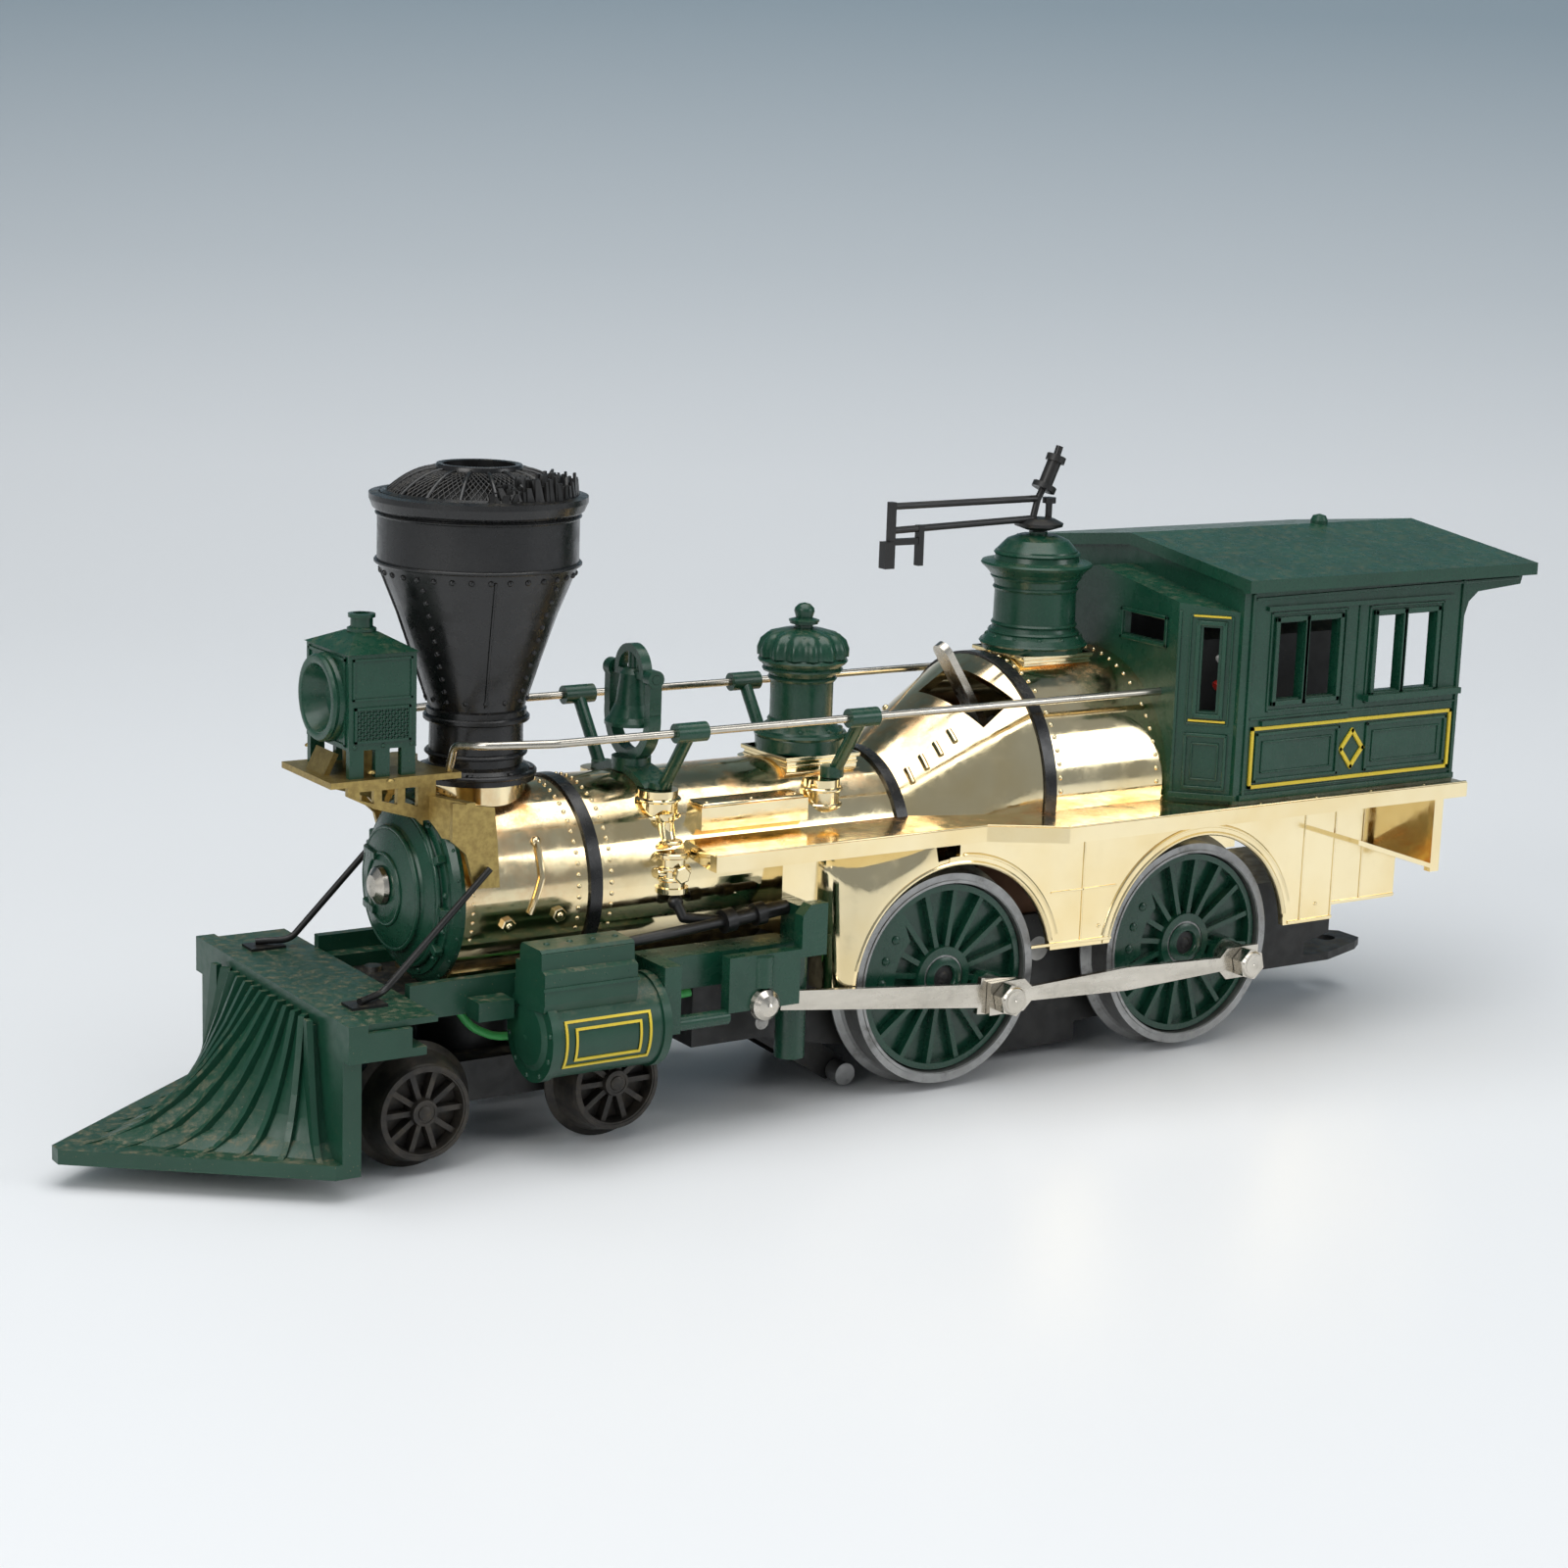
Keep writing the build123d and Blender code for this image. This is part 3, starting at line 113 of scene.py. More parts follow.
def plastic(name, base, vary, rough=(0.28, 0.42), dust=0.6, dust_hi=0.99, grain=0.00002, coat=0.0, dust_col=DUST, specks=0.5):
    m, nt, b = new_mat(name)
    g = G(nt)
    c = g.mix(g.rng(g.noise(90, 5), 0.35, 0.68), base, vary)
    up = g.rng(g.nz, 0.45, dust_hi)
    dn = g.m("MULTIPLY", up, g.rng(g.noise(620, 8, 0.75), 0.46, 0.70))
    film = g.m("MULTIPLY", g.rng(g.noise(3200, 6, 0.8), 0.52, 0.72), g.m("ADD", g.m("MULTIPLY", up, 0.75), 0.12))
    spk = g.m("MULTIPLY", g.rng(g.vor(1500), 0.16, 0.06), g.rng(g.noise(150, 3), 0.52, 0.60))
    d = g.m("MULTIPLY", g.m("ADD", g.m("MULTIPLY", dn, 0.55), g.m("ADD", g.m("MULTIPLY", film, 0.45), g.m("MULTIPLY", spk, specks))), dust)
    d = g.m("MINIMUM", d, 0.85)
    nt.links.new(g.mix(d, c, dust_col), b.inputs["Base Color"])
    r = g.m("ADD", g.rng(g.noise(500, 5), 0.3, 0.7, rough[0], rough[1]), g.m("MULTIPLY", d, 0.5))
    nt.links.new(r, b.inputs["Roughness"])
    b.inputs["Coat Weight"].default_value = coat
    b.inputs["Coat Roughness"].default_value = 0.12
    n1 = g.bump(g.noise(700, 6, 0.6), 0.25, 0.00006)
    n2 = g.bump(g.noise(6000, 3, 0.6), 0.22, grain, n1)
    nt.links.new(n2, b.inputs["Normal"])
    return m

def gold_mat(name, wear=1.0, rough=(0.06, 0.2), tone=1.0):
    m, nt, b = new_mat(name)
    g = G(nt)
    c = g.mix(g.rng(g.noise(45, 4), 0.35, 0.7), (0.90 * tone, 0.77 * tone, 0.49 * tone), (0.84 * tone, 0.67 * tone, 0.36 * tone))
    up = g.rng(g.nz, 0.5, 1.0)
    front = g.rng(g.px, 0.030, 0.066)
    w = g.m("MULTIPLY", g.rng(g.noise(120, 8, 0.72), 0.40, 0.66), g.m("ADD", g.m("MULTIPLY", up, 0.85), g.m("MULTIPLY", front, 0.42)))
    w = g.m("MINIMUM", g.m("MULTIPLY", w, wear), 0.9)
    c2 = g.mix(w, c, (0.72, 0.34, 0.11))
    fine = g.m("MULTIPLY", g.rng(g.noise(1500, 6, 0.8), 0.55, 0.75), g.m("ADD", g.m("MULTIPLY", up, 0.5), 0.10))
    c3 = g.mix(g.m("MULTIPLY", fine, wear), c2, (0.42, 0.30, 0.15))
    nt.links.new(c3, b.inputs["Base Color"])
    b.inputs["Metallic"].default_value = 1.0
    r = g.m("ADD", g.rng(g.noise(260, 6, 0.65), 0.35, 0.75, rough[0], rough[1]), g.m("ADD", g.m("MULTIPLY", w, 0.20), g.m("MULTIPLY", fine, 0.25)))
    nt.links.new(r, b.inputs["Roughness"])
    n1 = g.bump(g.noise(60, 2, 0.5), 0.25, 0.00022)
    n2 = g.bump(g.noise(420, 4, 0.6), 0.12, 0.00005, n1)
    nt.links.new(n2, b.inputs["Normal"])
    return m

def metal(name, base, vary, rough=(0.2, 0.35), metallic=1.0, stretch=None, scale=400, bumpd=0.00002, grime=0.0, grime_col=(0.05, 0.045, 0.035)):
    m, nt, b = new_mat(name)
    g = G(nt)
    c = g.mix(g.rng(g.noise(scale * 0.4, 6, 0.65, stretch), 0.35, 0.68), base, vary)
    gr = g.m("MULTIPLY", g.rng(g.noise(220, 8, 0.75), 0.50, 0.72), grime)
    c = g.mix(gr, c, grime_col)
    nt.links.new(c, b.inputs["Base Color"])
    b.inputs["Metallic"].default_value = metallic
    r = g.m("ADD", g.rng(g.noise(scale, 5, 0.6, stretch), 0.3, 0.7, rough[0], rough[1]), g.m("MULTIPLY", gr, 0.35))
    nt.links.new(r, b.inputs["Roughness"])
    n1 = g.bump(g.noise(scale * 2.5, 4, 0.6, stretch), 0.3, bumpd)
    nt.links.new(n1, b.inputs["Normal"])
    return m

M = {}
M["green"] = plastic("green_plastic", (0.0055, 0.046, 0.025), (0.008, 0.058, 0.032), (0.22, 0.34), 0.6)
M["green_clean"] = plastic("green_plastic_clean", (0.0055, 0.045, 0.025), (0.008, 0.058, 0.033), (0.20, 0.32), 0.2)
M["green_dusty"] = plastic("green_plastic_dusty", (0.0055, 0.045, 0.024), (0.008, 0.056, 0.031), (0.28, 0.42), 1.35, 0.9)
M["gold"] = gold_mat("gold_plated")
M["gold_side"] = gold_mat("gold_plated_trim", 0.5, (0.10, 0.22), 1.0)
M["black"] = plastic("black_plastic", (0.006, 0.006, 0.0065), (0.011, 0.011, 0.011), (0.20, 0.33), 0.30, specks=0.25)
M["black_wire"] = plastic("black_wire", (0.008, 0.008, 0.008), (0.015, 0.014, 0.013), (0.30, 0.45), 0.35)
M["deck_black"] = plastic("black_chassis", (0.010, 0.010, 0.010), (0.018, 0.017, 0.015), (0.42, 0.58), 0.9, 0.9)
M["wheel_black"] = metal("black_wheel", (0.022, 0.020, 0.018), (0.05, 0.043, 0.034), (0.38, 0.55), 0.35, scale=900, grime=0.5, grime_col=(0.10, 0.075, 0.045))
M["zinc"] = metal("turned_zinc", (0.36, 0.36, 0.355), (0.28, 0.28, 0.275), (0.34, 0.5), 0.9, scale=700, bumpd=0.00003, grime=0.55, grime_col=(0.10, 0.095, 0.085))
M["nickel"] = metal("nickel", (0.60, 0.56, 0.49), (0.50, 0.465, 0.40), (0.18, 0.32), 1.0, (0.25, 1, 1), 500, 0.00001, 0.18)
M["steel"] = metal("machine_steel", (0.42, 0.41, 0.39), (0.32, 0.31, 0.29), (0.3, 0.45), 1.0, None, 600, 0.00002, 0.6)
M["brass"] = metal("bracket_brass", (0.46, 0.34, 0.12), (0.33, 0.235, 0.085), (0.36, 0.5), 0.95, None, 2600, 0.00008, 0.35, (0.12, 0.085, 0.03))
M["board"] = plastic("fibre_board", (0.16, 0.07, 0.03), (0.22, 0.10, 0.045), (0.5, 0.65), 0.3)
M["yellow"] = plastic("yellow_lining", (0.72, 0.55, 0.03), (0.66, 0.48, 0.03), (0.35, 0.5), 0.15, specks=0.1)
M["lead"] = plastic("green_lead", (0.06, 0.42, 0.10), (0.05, 0.36, 0.09), (0.35, 0.5), 0.3)
M["red"] = plastic("red_paint", (0.5, 0.02, 0.015), (0.42, 0.02, 0.015), (0.3, 0.45), 0.15)
M["white"] = plastic("white_paint", (0.72, 0.72, 0.70), (0.66, 0.66, 0.64), (0.35, 0.5), 0.15)

m, nt, b = new_mat("clear_glass")
g = G(nt)
nt.links.new(g.rng(g.noise(900, 4), 0.3, 0.7, 0.03, 0.10), b.inputs["Roughness"])
b.inputs["Base Color"].default_value = (0.92, 0.93, 0.90, 1)
b.inputs["Transmission Weight"].default_value = 1.0
b.inputs["IOR"].default_value = 1.45
M["glass"] = m

NODE_MAT = {
 "front_driver_centres": "green_clean", "rear_driver_centres": "green_clean", "smokebox_front": "green", "headlight_housing": "green",
 "bell_stand": "green", "rear_stanchions": "green", "sand_dome": "green", "steam_dome": "green", "cab_shell": "green", "cab_roof": "green",
 "pilot": "green_dusty", "front_deck": "green_dusty", "cylinder_left": "green_dusty", "cylinder_right": "green_dusty",
 "crosshead_guide_left": "green", "crosshead_guide_right": "green", "headlight_lead": "lead", "body_shell": "gold",
 "boiler_bands": "black", "smokestack": "black", "spark_arrestor": "black", "feed_pumps": "black_wire", "smokebox_braces": "black_wire",
 "safety_valve_lever": "black_wire", "front_driver_wheels": "zinc", "rear_driver_wheels": "zinc", "collector_roller": "zinc",
 "front_crank_bolts": "nickel", "rear_crank_bolts": "nickel", "side_rod_left": "nickel", "side_rod_right": "nickel",
 "main_rod_left": "nickel", "main_rod_right": "nickel", "smokebox_screw": "nickel", "handrails": "nickel", "reverse_lever": "nickel",
 "guide_studs": "nickel", "truck_front_wheelset": "wheel_black", "truck_rear_wheelset": "wheel_black", "truck_frame": "deck_black",
 "chassis_frame": "deck_black", "drawbar": "deck_black", "front_axle": "steel", "rear_axle": "steel", "front_driver_gear": "steel",
 "rear_driver_gear": "steel", "idler_gear": "steel", "armature": "steel", "armature_shaft": "steel", "chassis_pins": "steel",
 "chassis_screws": "steel", "motor_field": "steel", "collector_arm": "deck_black", "motor_cover": "deck_black", "reverse_unit": "steel",
 "headlight_bracket": "brass", "bell": "green", "axle_bushes": "brass", "brush_holder": "board", "headlight_bulb": "glass"}
for n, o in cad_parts.items():
    o.data.materials.clear()
    o.data.materials.append(M[NODE_MAT.get(n, "green")])

def mk(name, verts, faces, mat, body=ROOT, angle=35, bevel=0, segs=2):
    me = bpy.data.meshes.new(name)
    me.from_pydata([tuple(c * MM for c in v) for v in verts], [], faces)
    bm = bmesh.new(); bm.from_mesh(me)
    bmesh.ops.recalc_face_normals(bm, faces=bm.faces)
    bm.to_mesh(me); bm.free()
    o = bpy.data.objects.new(name, me)
    bpy.context.scene.collection.objects.link(o)
    me.materials.append(M[mat])
    if bevel:
        md = o.modifiers.new("bevel", "BEVEL"); md.width = bevel * MM; md.segments = segs; md.limit_method = "ANGLE"; md.angle_limit = radians(40)
    for p in me.polygons: p.use_smooth = True
    if angle < 180:
        bpy.context.view_layer.objects.active = o
        me.set_sharp_from_angle(angle=radians(angle))
    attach(o, body)
    return o

class P:
    """Gathers many small solids into one piece."""
    def __init__(s): s.v, s.f = [], []
    def add(s, v, f):
        k = len(s.v); s.v += list(v); s.f += [tuple(i + k for i in q) for q in f]; return s
    def box(s, x0, x1, y0, y1, z0, z1):
        x0, x1 = min(x0, x1), max(x0, x1); y0, y1 = min(y0, y1), max(y0, y1); z0, z1 = min(z0, z1), max(z0, z1)
        v = [(x, y, z) for z in (z0, z1) for x, y in ((x0, y0), (x1, y0), (x1, y1), (x0, y1))]
        return s.add(v, [(3, 2, 1, 0), (4, 5, 6, 7), (0, 1, 5, 4), (1, 2, 6, 5), (2, 3, 7, 6), (3, 0, 4, 7)])
    def prism(s, pts, a, b):
        """pts: list of 3D points; b: offset vector from pts; a ignored"""
        n = len(pts); off = Vector(b)
        v = [tuple(p) for p in pts] + [tuple(Vector(p) + off) for p in pts]
        f = [tuple(reversed(range(n))), tuple(range(n, 2 * n))] + [(i, (i + 1) % n, n + (i + 1) % n, n + i) for i in range(n)]
        return s.add(v, f)
    def lathe(s, prof, c, axis=(0, 0, 1), segs=48, mod=None):
        ax = Vector(axis).normalized(); u = ax.orthogonal().normalized(); w = ax.cross(u); c = Vector(c)
        v, f = [], []; n = len(prof)
        for i in range(segs):
            t = 2 * pi * i / segs
            for k, (r, h) in enumerate(prof):
                rr = r * (mod(t, h, r) if mod else 1)
                v.append(tuple(c + ax * h + (u * cos(t) + w * sin(t)) * rr))
        for i in range(segs):
            j = (i + 1) % segs
            for k in range(n - 1):
                f.append((i * n + k, j * n + k, j * n + k + 1, i * n + k + 1))
        if prof[0][0] < 1e-6 or prof[-1][0] < 1e-6:
            pass
        return s.add(v, f)
    def rod(s, p, q, r, segs=12, r2=None):
        p, q = Vector(p), Vector(q); d = q - p; L = d.length
        r2 = r if r2 is None else r2
        e = min(0.15, r * 0.3)
        return s.lathe([(0.0, 0), (r - e, 0), (r, e), (r2, L - e), (r2 - e, L), (0.0, L)], p, d, segs)
    def tube(s, pts, r, segs=10):
        pts = [Vector(p) for p in pts]; v, f = [], []
        t0 = (pts[1] - pts[0]).normalized(); u = t0.orthogonal().normalized()
        for i, p in enumerate(pts):
            t = ((pts[min(i + 1, len(pts) - 1)] - pts[max(i - 1, 0)])).normalized()
            u = (u - t * u.dot(t)).normalized(); w = t.cross(u)
            for k in range(segs):
                a = 2 * pi * k / segs
                v.append(tuple(p + (u * cos(a) + w * sin(a)) * r))
        for i in range(len(pts) - 1):
            for k in range(segs):
                f.append((i * segs + k, i * segs + (k + 1) % segs, (i + 1) * segs + (k + 1) % segs, (i + 1) * segs + k))
        f.append(tuple(reversed(range(segs)))); n = (len(pts) - 1) * segs; f.append(tuple(range(n, n + segs)))
        return s.add(v, f)
    def dome(s, p, n, r, h=None, segs=10, sink=0.12):
        h = r * 0.75 if h is None else h
        return s.lathe([(r, -sink), (r, 0.0), (r * 0.92, h * 0.45), (r * 0.62, h * 0.85), (r * 0.25, h), (0.0, h * 1.02)], p, n, segs)
    def hexnut(s, p, n, r, h):
        return s.lathe([(r, -0.1), (r, h * 0.8), (r * 0.85, h), (0.0, h)], p, n, 6)
    def strip(s, poly, nrm, w, t, sink=0.03):
        """flat line of width w standing t proud along a polyline that lies on a plane of normal nrm; corners are squared"""
        nrm = Vector(nrm).normalized(); poly = [Vector(p) for p in poly]
        for a, b in zip(poly, poly[1:]):
            d = (b - a).normalized(); side = d.cross(nrm) * (w / 2); a2, b2 = a - d * (w / 2), b + d * (w / 2)
            q = [a2 + side, b2 + side, b2 - side, a2 - side]
            s.prism([tuple(x - nrm * sink) for x in q], 0, tuple(nrm * (t + sink)))
        return s
    def frame_line(s, x0, x1, z0, z1, y, w, t, sgn=1):
        nrm = (0, sgn, 0)
        return s.strip([(x0, y, z0), (x1, y, z0)], nrm, w, t).strip([(x1, y, z0), (x1, y, z1)], nrm, w, t).strip([(x1, y, z1), (x0, y, z1)], nrm, w, t).strip([(x0, y, z1), (x0, y, z0)], nrm, w, t)
    def out(s, name, mat, body=ROOT, angle=35, bevel=0, segs=2):
        return mk(name, s.v, s.f, mat, body, angle, bevel, segs)

# ---------------------------------------------------------------- boiler shell details
BR, BZ, RR_, RZ = 14.3, 37.2, 20.0, 45.0
def BP(x, ph, r=BR, zc=BZ, d=0.0):
    n = (0, sin(ph), cos(ph)); return (x, (r + d) * n[1], zc + (r + d) * n[2]), n
p = P()
for x in (44.7, 50.1):
    for k in range(-17, 18):
        q, n = BP(x, radians(k * 6.6)); p.dome(q, n, 0.36, 0.26, 8)
for x in (-33.0, -52.4):
    for k in range(-16, 17):
        q, n = BP(x, radians(k * 6.2), RR_, RZ)
        if q[2] > 44.2: p.dome(q, n, 0.38, 0.26, 8)
for x in (-10.6 + 3.4,):
    for k in range(-9, 10):
        q, n = BP(x, radians(k * 7.4))
        if q[2] > 44.0 and abs(q[1]) > 6.8: p.dome(q, n, 0.34, 0.24, 8)
for x in (67.2,):
    for k in range(-20, 21):
        q, n = BP(x, radians(k * 5.6)); p.dome(q, n, 0.30, 0.2, 8)
p.out("shell_rivets", "gold_side")

# thin pipe down the barrel ahead of the first band, hex nuts, pipe bosses
for s, tag in ((1, "left"), (-1, "right")):
    p = P()
    def S(pts): return [(x, s * y, z) for x, y, z in pts]
    q = []
    for k in range(13):
        ph = radians(58 + k * 3.4); x = 56.2 + (0.0 if k < 7 else (k - 6) * 0.32)
        a, n = BP(x, ph, d=0.35); q.append(a)
    p.tube(S(q), 0.42)
    a, n = BP(56.2, radians(57), d=0.2); p.dome((a[0], s * a[1], a[2]), (0, s * n[1], n[2]), 0.75, 0.5)
    for x, deg in ((61.6, 104), (53.4, 101)):
        a, n = BP(x, radians(deg)); nn = (0, s * n[1], n[2]); aa = (a[0], s * a[1], a[2])
        p.hexnut(aa, nn, 1.15, 0.7); p.dome(tuple(Vector(aa) + Vector(nn) * 0.6), nn, 0.55, 0.45)
    # check valve: flanges, bonnet nut and pipe
    for z, r, h in ((35.9, 1.75, 0.5), (37.6, 2.35, 0.6), (39.2, 2.35, 0.6), (41.1, 2.7, 0.8), (43.0, 1.5, 0.6)):
        p.lathe([(0, 0), (r - 0.15, 0), (r, 0.15), (r, h - 0.15), (r - 0.15, h), (0, h)], (34.5, s * 14.2, z), (0, 0, 1), 20)
    p.lathe([(1.3, 0), (1.2, 3.2), (1.5, 3.6), (1.6, 4.4)], (34.4, s * 12.7, 42.6), (0, -0.28 * s, 1), 16)
    p.rod((31.8, s * 14.6, 38.9), (37.4, s * 14.6, 38.9), 0.85)
    p.rod((34.5, s * 14.4, 38.9), (34.5, s * 17.0, 38.9), 1.0)
    p.hexnut((34.5, s * 16.8, 38.9), (0, s, 0), 1.35, 0.7)
    # turret bases under the stanchions: stepped flanges
    for cx_, cy_, z0, r in ((34.0, 8.8, 48.6, 3.1), (5.4, 9.6, 47.9, 2.9)):
        for z, rr, h in ((z0 - 2.6, r * 1.12, 0.7), (z0 - 1.3, r * 0.88, 0.9), (z0 - 0.1, r * 1.12, 0.6), (z0 + 0.8, r * 0.8, 0.6)):
            p.lathe([(0, 0), (rr - 0.2, 0), (rr, 0.2), (rr, h - 0.2), (rr - 0.2, h), (0, h)], (cx_, s * cy_, z), (0, 0, 1), 24)
    p.out("boiler_fittings_" + tag, "gold_side")
    # side box: lid with bevelled edge and corner studs
    p = P(); p.box(29.0, 11.0, s * 9.0, s * 13.5, 47.6, 48.3)
    p.out("side_box_lid_" + tag, "gold", bevel=0.3)
    p = P()
    for x in (12.2, 20.0, 27.8):
        p.dome((x, s * 12.6, 48.25), (0, 0, 1), 0.32, 0.25, 8)
    p.strip([(10.9, s * 13.9, 45.1), (29.1, s * 13.9, 45.1)], (0, s, 0), 0.35, 0.18)
    p.out("side_box_trim_" + tag, "gold_side")

# dome pedestals: mouldings round the square bases
p = P()
for x0, x1, y, z0, z1 in ((-34.8, -48.0, 6.6, 62.0, 65.4), (9.6, -3.2, 6.2, 49.6, 52.4)):
    for z, e, h in ((z1 - 0.7, 0.45, 0.7), (z1 - 1.7, 0.2, 0.45), (z0 - 0.2, 0.4, 0.6)):
        p.box(x0 + e, x1 - e, -y - e, y + e, z, z + h)
p.out("pedestal_mouldings", "gold_side", bevel=0.14)
# cross studs over the cone top, left and right of the slot
p = P()
for k in range(4):
    x = -10.6 - k * 2.6; t = (-8.5 - x) / 21.0; r = 14.3 + 5.7 * t; zc = 37.2 + 7.8 * t
    q = [(x, y, zc + (r * r - y * y) ** 0.5 + 0.05) for y in (9.3, 10.3, 11.3)]
    p.tube(q, 0.5, 10)
    for y in (-8.2, -10.4):
        p.dome((x, y, zc + (r * r - y * y) ** 0.5), (0.5, y / r, 0.8), 0.6, 0.45)
p.out("cone_studs", "gold_side")

# running board lips, arch beads and panel seams
BZT = 43.08
p = P()
for s in (1, -1):
    path = [(33.0, 24.35), (-15.5, 24.35), (-26.6, 30.68), (-110.7, 30.68)]
    for a, b in zip(path, path[1:]):
        p.strip([(a[0], s * a[1], BZT), (b[0], s * b[1], BZT)], (0, 0, 1), 0.45, 0.28)
p.out("board_lips", "gold_side", bevel=0.1)
def arc(xc, r, a0, a1, y, n=40):
    return [(xc + r * cos(radians(a0 + (a1 - a0) * i / n)), y, 18.1 + r * sin(radians(a0 + (a1 - a0) * i / n))) for i in range(n + 1)]
for s, tag in ((1, "left"), (-1, "right")):
    p = P()
    p.tube(arc(-12.4, 19.0, 12, 166, s * 21.85), 0.45); p.tube(arc(-12.4, 20.2, 92, 164, s * 21.9), 0.38)
    p.tube(arc(-61.2, 19.0, 11, 169, s * 21.85), 0.45); p.tube(arc(-61.2, 20.2, 12, 164, s * 21.9), 0.38)
    p.out("arch_beads_" + tag, "gold_side")
    p = P(); Y = s * 22.0
    def L(pts, w=0.32, t=0.16): p.strip([(x, Y, z) for x, z in pts], (0, s, 0), w, t)
    L([(-27.2, 22.0), (-42.8, 21.8)], 0.5, 0.22)
    L([(-36.8, 22.2), (-36.8, 40.2)]); L([(-30.6, 30.4), (-43.4, 30.4)])
    L([(-83.4, 20.4), (-83.4, 40.4)]); L([(-90.2, 20.4), (-90.2, 40.4)])
    L([(-81.0, 20.0), (-90.3, 20.0)], 0.5, 0.22)
    L([(-14.0, 40.3), (-90.4, 40.3)], 0.45, 0.25)
    p.strip([(-97.6, s * 21.0, 22.0), (-97.6, s * 21.0, 40.4)], (0, s, 0), 0.32, 0.16)
    p.strip([(-90.6, s * 21.0, 22.1), (-105.3, s * 21.0, 22.1)], (0, s, 0), 0.5, 0.22)
    for x, z in ((-30.4, 24.2), (-40.4, 24.0), (-86.8, 22.6), (-86.8, 38.4)):
        p.dome((x, Y, z), (0, s, 0), 0.35, 0.2, 8)
    p.out("skirt_seams_" + tag, "gold_side", bevel=0.06)

# ---------------------------------------------------------------- stack
def cone_r(z): return 7.0 + (14.5 - 7.0) * (z - 63.2) / (84.2 - 63.2) if z <= 84.2 else 14.5
SX = 59.8
def cone_pt(a, z):
    r = 7.0 + (9.2 - 7.0) * (z - 63.2) / 6.8 if z < 70 else (9.2 + (11.6 - 9.2) * (z - 70) / 7 if z < 77 else 11.6 + (14.5 - 11.6) * (z - 77) / 7.2)
    sl = 0.36
    return (SX + r * cos(a), r * sin(a), z), (cos(a), sin(a), -sl)
p = P()
for k in range(32):
    q, n = cone_pt(2 * pi * k / 32 + 0.05, 82.9); p.dome(q, n, 0.45, 0.36)
for k in range(16):
    q, n = cone_pt(2 * pi * k / 16 + 0.1, 64.6); p.dome(q, n, 0.40, 0.32)
for deg in (28, 118, 208, 298):
    for k in range(9):
        q, n = cone_pt(radians(deg), 66.2 + k * 1.9); p.dome(q, n, 0.42, 0.33)
p.out("stack_rivets", "black")
p = P()
for z, r, h in ((84.0, 14.95, 0.55), (90.9, 14.8, 0.45)):
    p.lathe([(14.2, 0), (r - 0.15, 0), (r, 0.15), (r, h - 0.15), (r - 0.15, h), (14.2, h)], (SX, 0, z), segs=96)
for z, r, h in ((61.2, 7.75, 0.9), (56.2, 7.5, 0.6), (53.4, 8.9, 0.7)):
    p.lathe([(6.5, 0), (r - 0.2, 0), (r, 0.2), (r, h - 0.2), (r - 0.2, h), (6.5, h)], (SX, 0, z), segs=72)
for deg in (73, 163, 253, 343):
    a = radians(deg)
    q = [cone_pt(a, 64.0 + i * 1.0) for i in range(20)]
    p.tube([tuple(Vector(x) + Vector(n) * 0.02) for x, n in q], 0.22, 6)
for k in range(8):
    a = 2 * pi * k / 8 + 0.2
    p.hexnut((SX + 8.0 * cos(a), 8.0 * sin(a), 53.9), (0, 0, 1), 0.55, 0.5)
p.out("stack_bands", "black")

# spark arrestor: ribbed mesh dome round the open top
def dome_r(t):  # t 0 rim .. 1 hole
    r = 13.3 + (5.9 - 13.3) * t
    z = 93.9 + 3.55 * (1 - (1 - t) ** 1.9)
    return r, z
v, f = [], []
NR, NA = 11, 84
for i in range(NR + 1):
    r, z = dome_r(i / NR)
    for k in range(NA):
        a = 2 * pi * (k + 0.5 * (i % 2)) / NA
        v.append((SX + r * cos(a), r * sin(a), z))
for i in range(0, NR - 1):
    for k in range(NA):
        # diamonds
        if i % 2 == 0: f.append((i * NA + k, (i + 1) * NA + k, (i + 2) * NA + k, (i + 1) * NA + (k - 1) % NA))
        else: f.append((i * NA + k, (i + 1) * NA + (k + 1) % NA, (i + 2) * NA + k, (i + 1) * NA + k))
net = mk("spark_net", v, f, "black_wire", angle=180)
wm = net.modifiers.new("wire", "WIREFRAME"); wm.thickness = 0.30 * MM; wm.use_even_offset = False; wm.use_boundary = True
p = P()
p.lathe([(5.2, 97.2), (5.2, 98.2), (5.45, 98.3), (6.1, 98.3), (6.3, 98.0), (6.3, 97.2), (5.2, 97.2)], (SX, 0, 0), segs=64)
p.lathe([(13.0, 93.2), (13.0, 94.2), (13.5, 94.5), (14.1, 94.2), (14.2, 93.4), (13.0, 93.2)], (SX, 0, 0), segs=96)
for k in range(16):
    a = 2 * pi * k / 16 + 0.11
    p.tube([(SX + dome_r(t / 8)[0] * cos(a), dome_r(t / 8)[0] * sin(a), dome_r(t / 8)[1] + 0.1) for t in range(9)], 0.36, 8)
p.lathe([(5.3, 97.0), (4.9, 92.0), (4.6, 86.0), (0.0, 85.8)], (SX, 0, 0), segs=48)
p.lathe([(13.0, 92.9), (9.5, 95.2), (6.0, 96.4), (5.2, 96.5)], (SX, 0, 0), segs=64)
cap = p.out("spark_cap", "black", angle=50)
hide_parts("spark_arrestor")
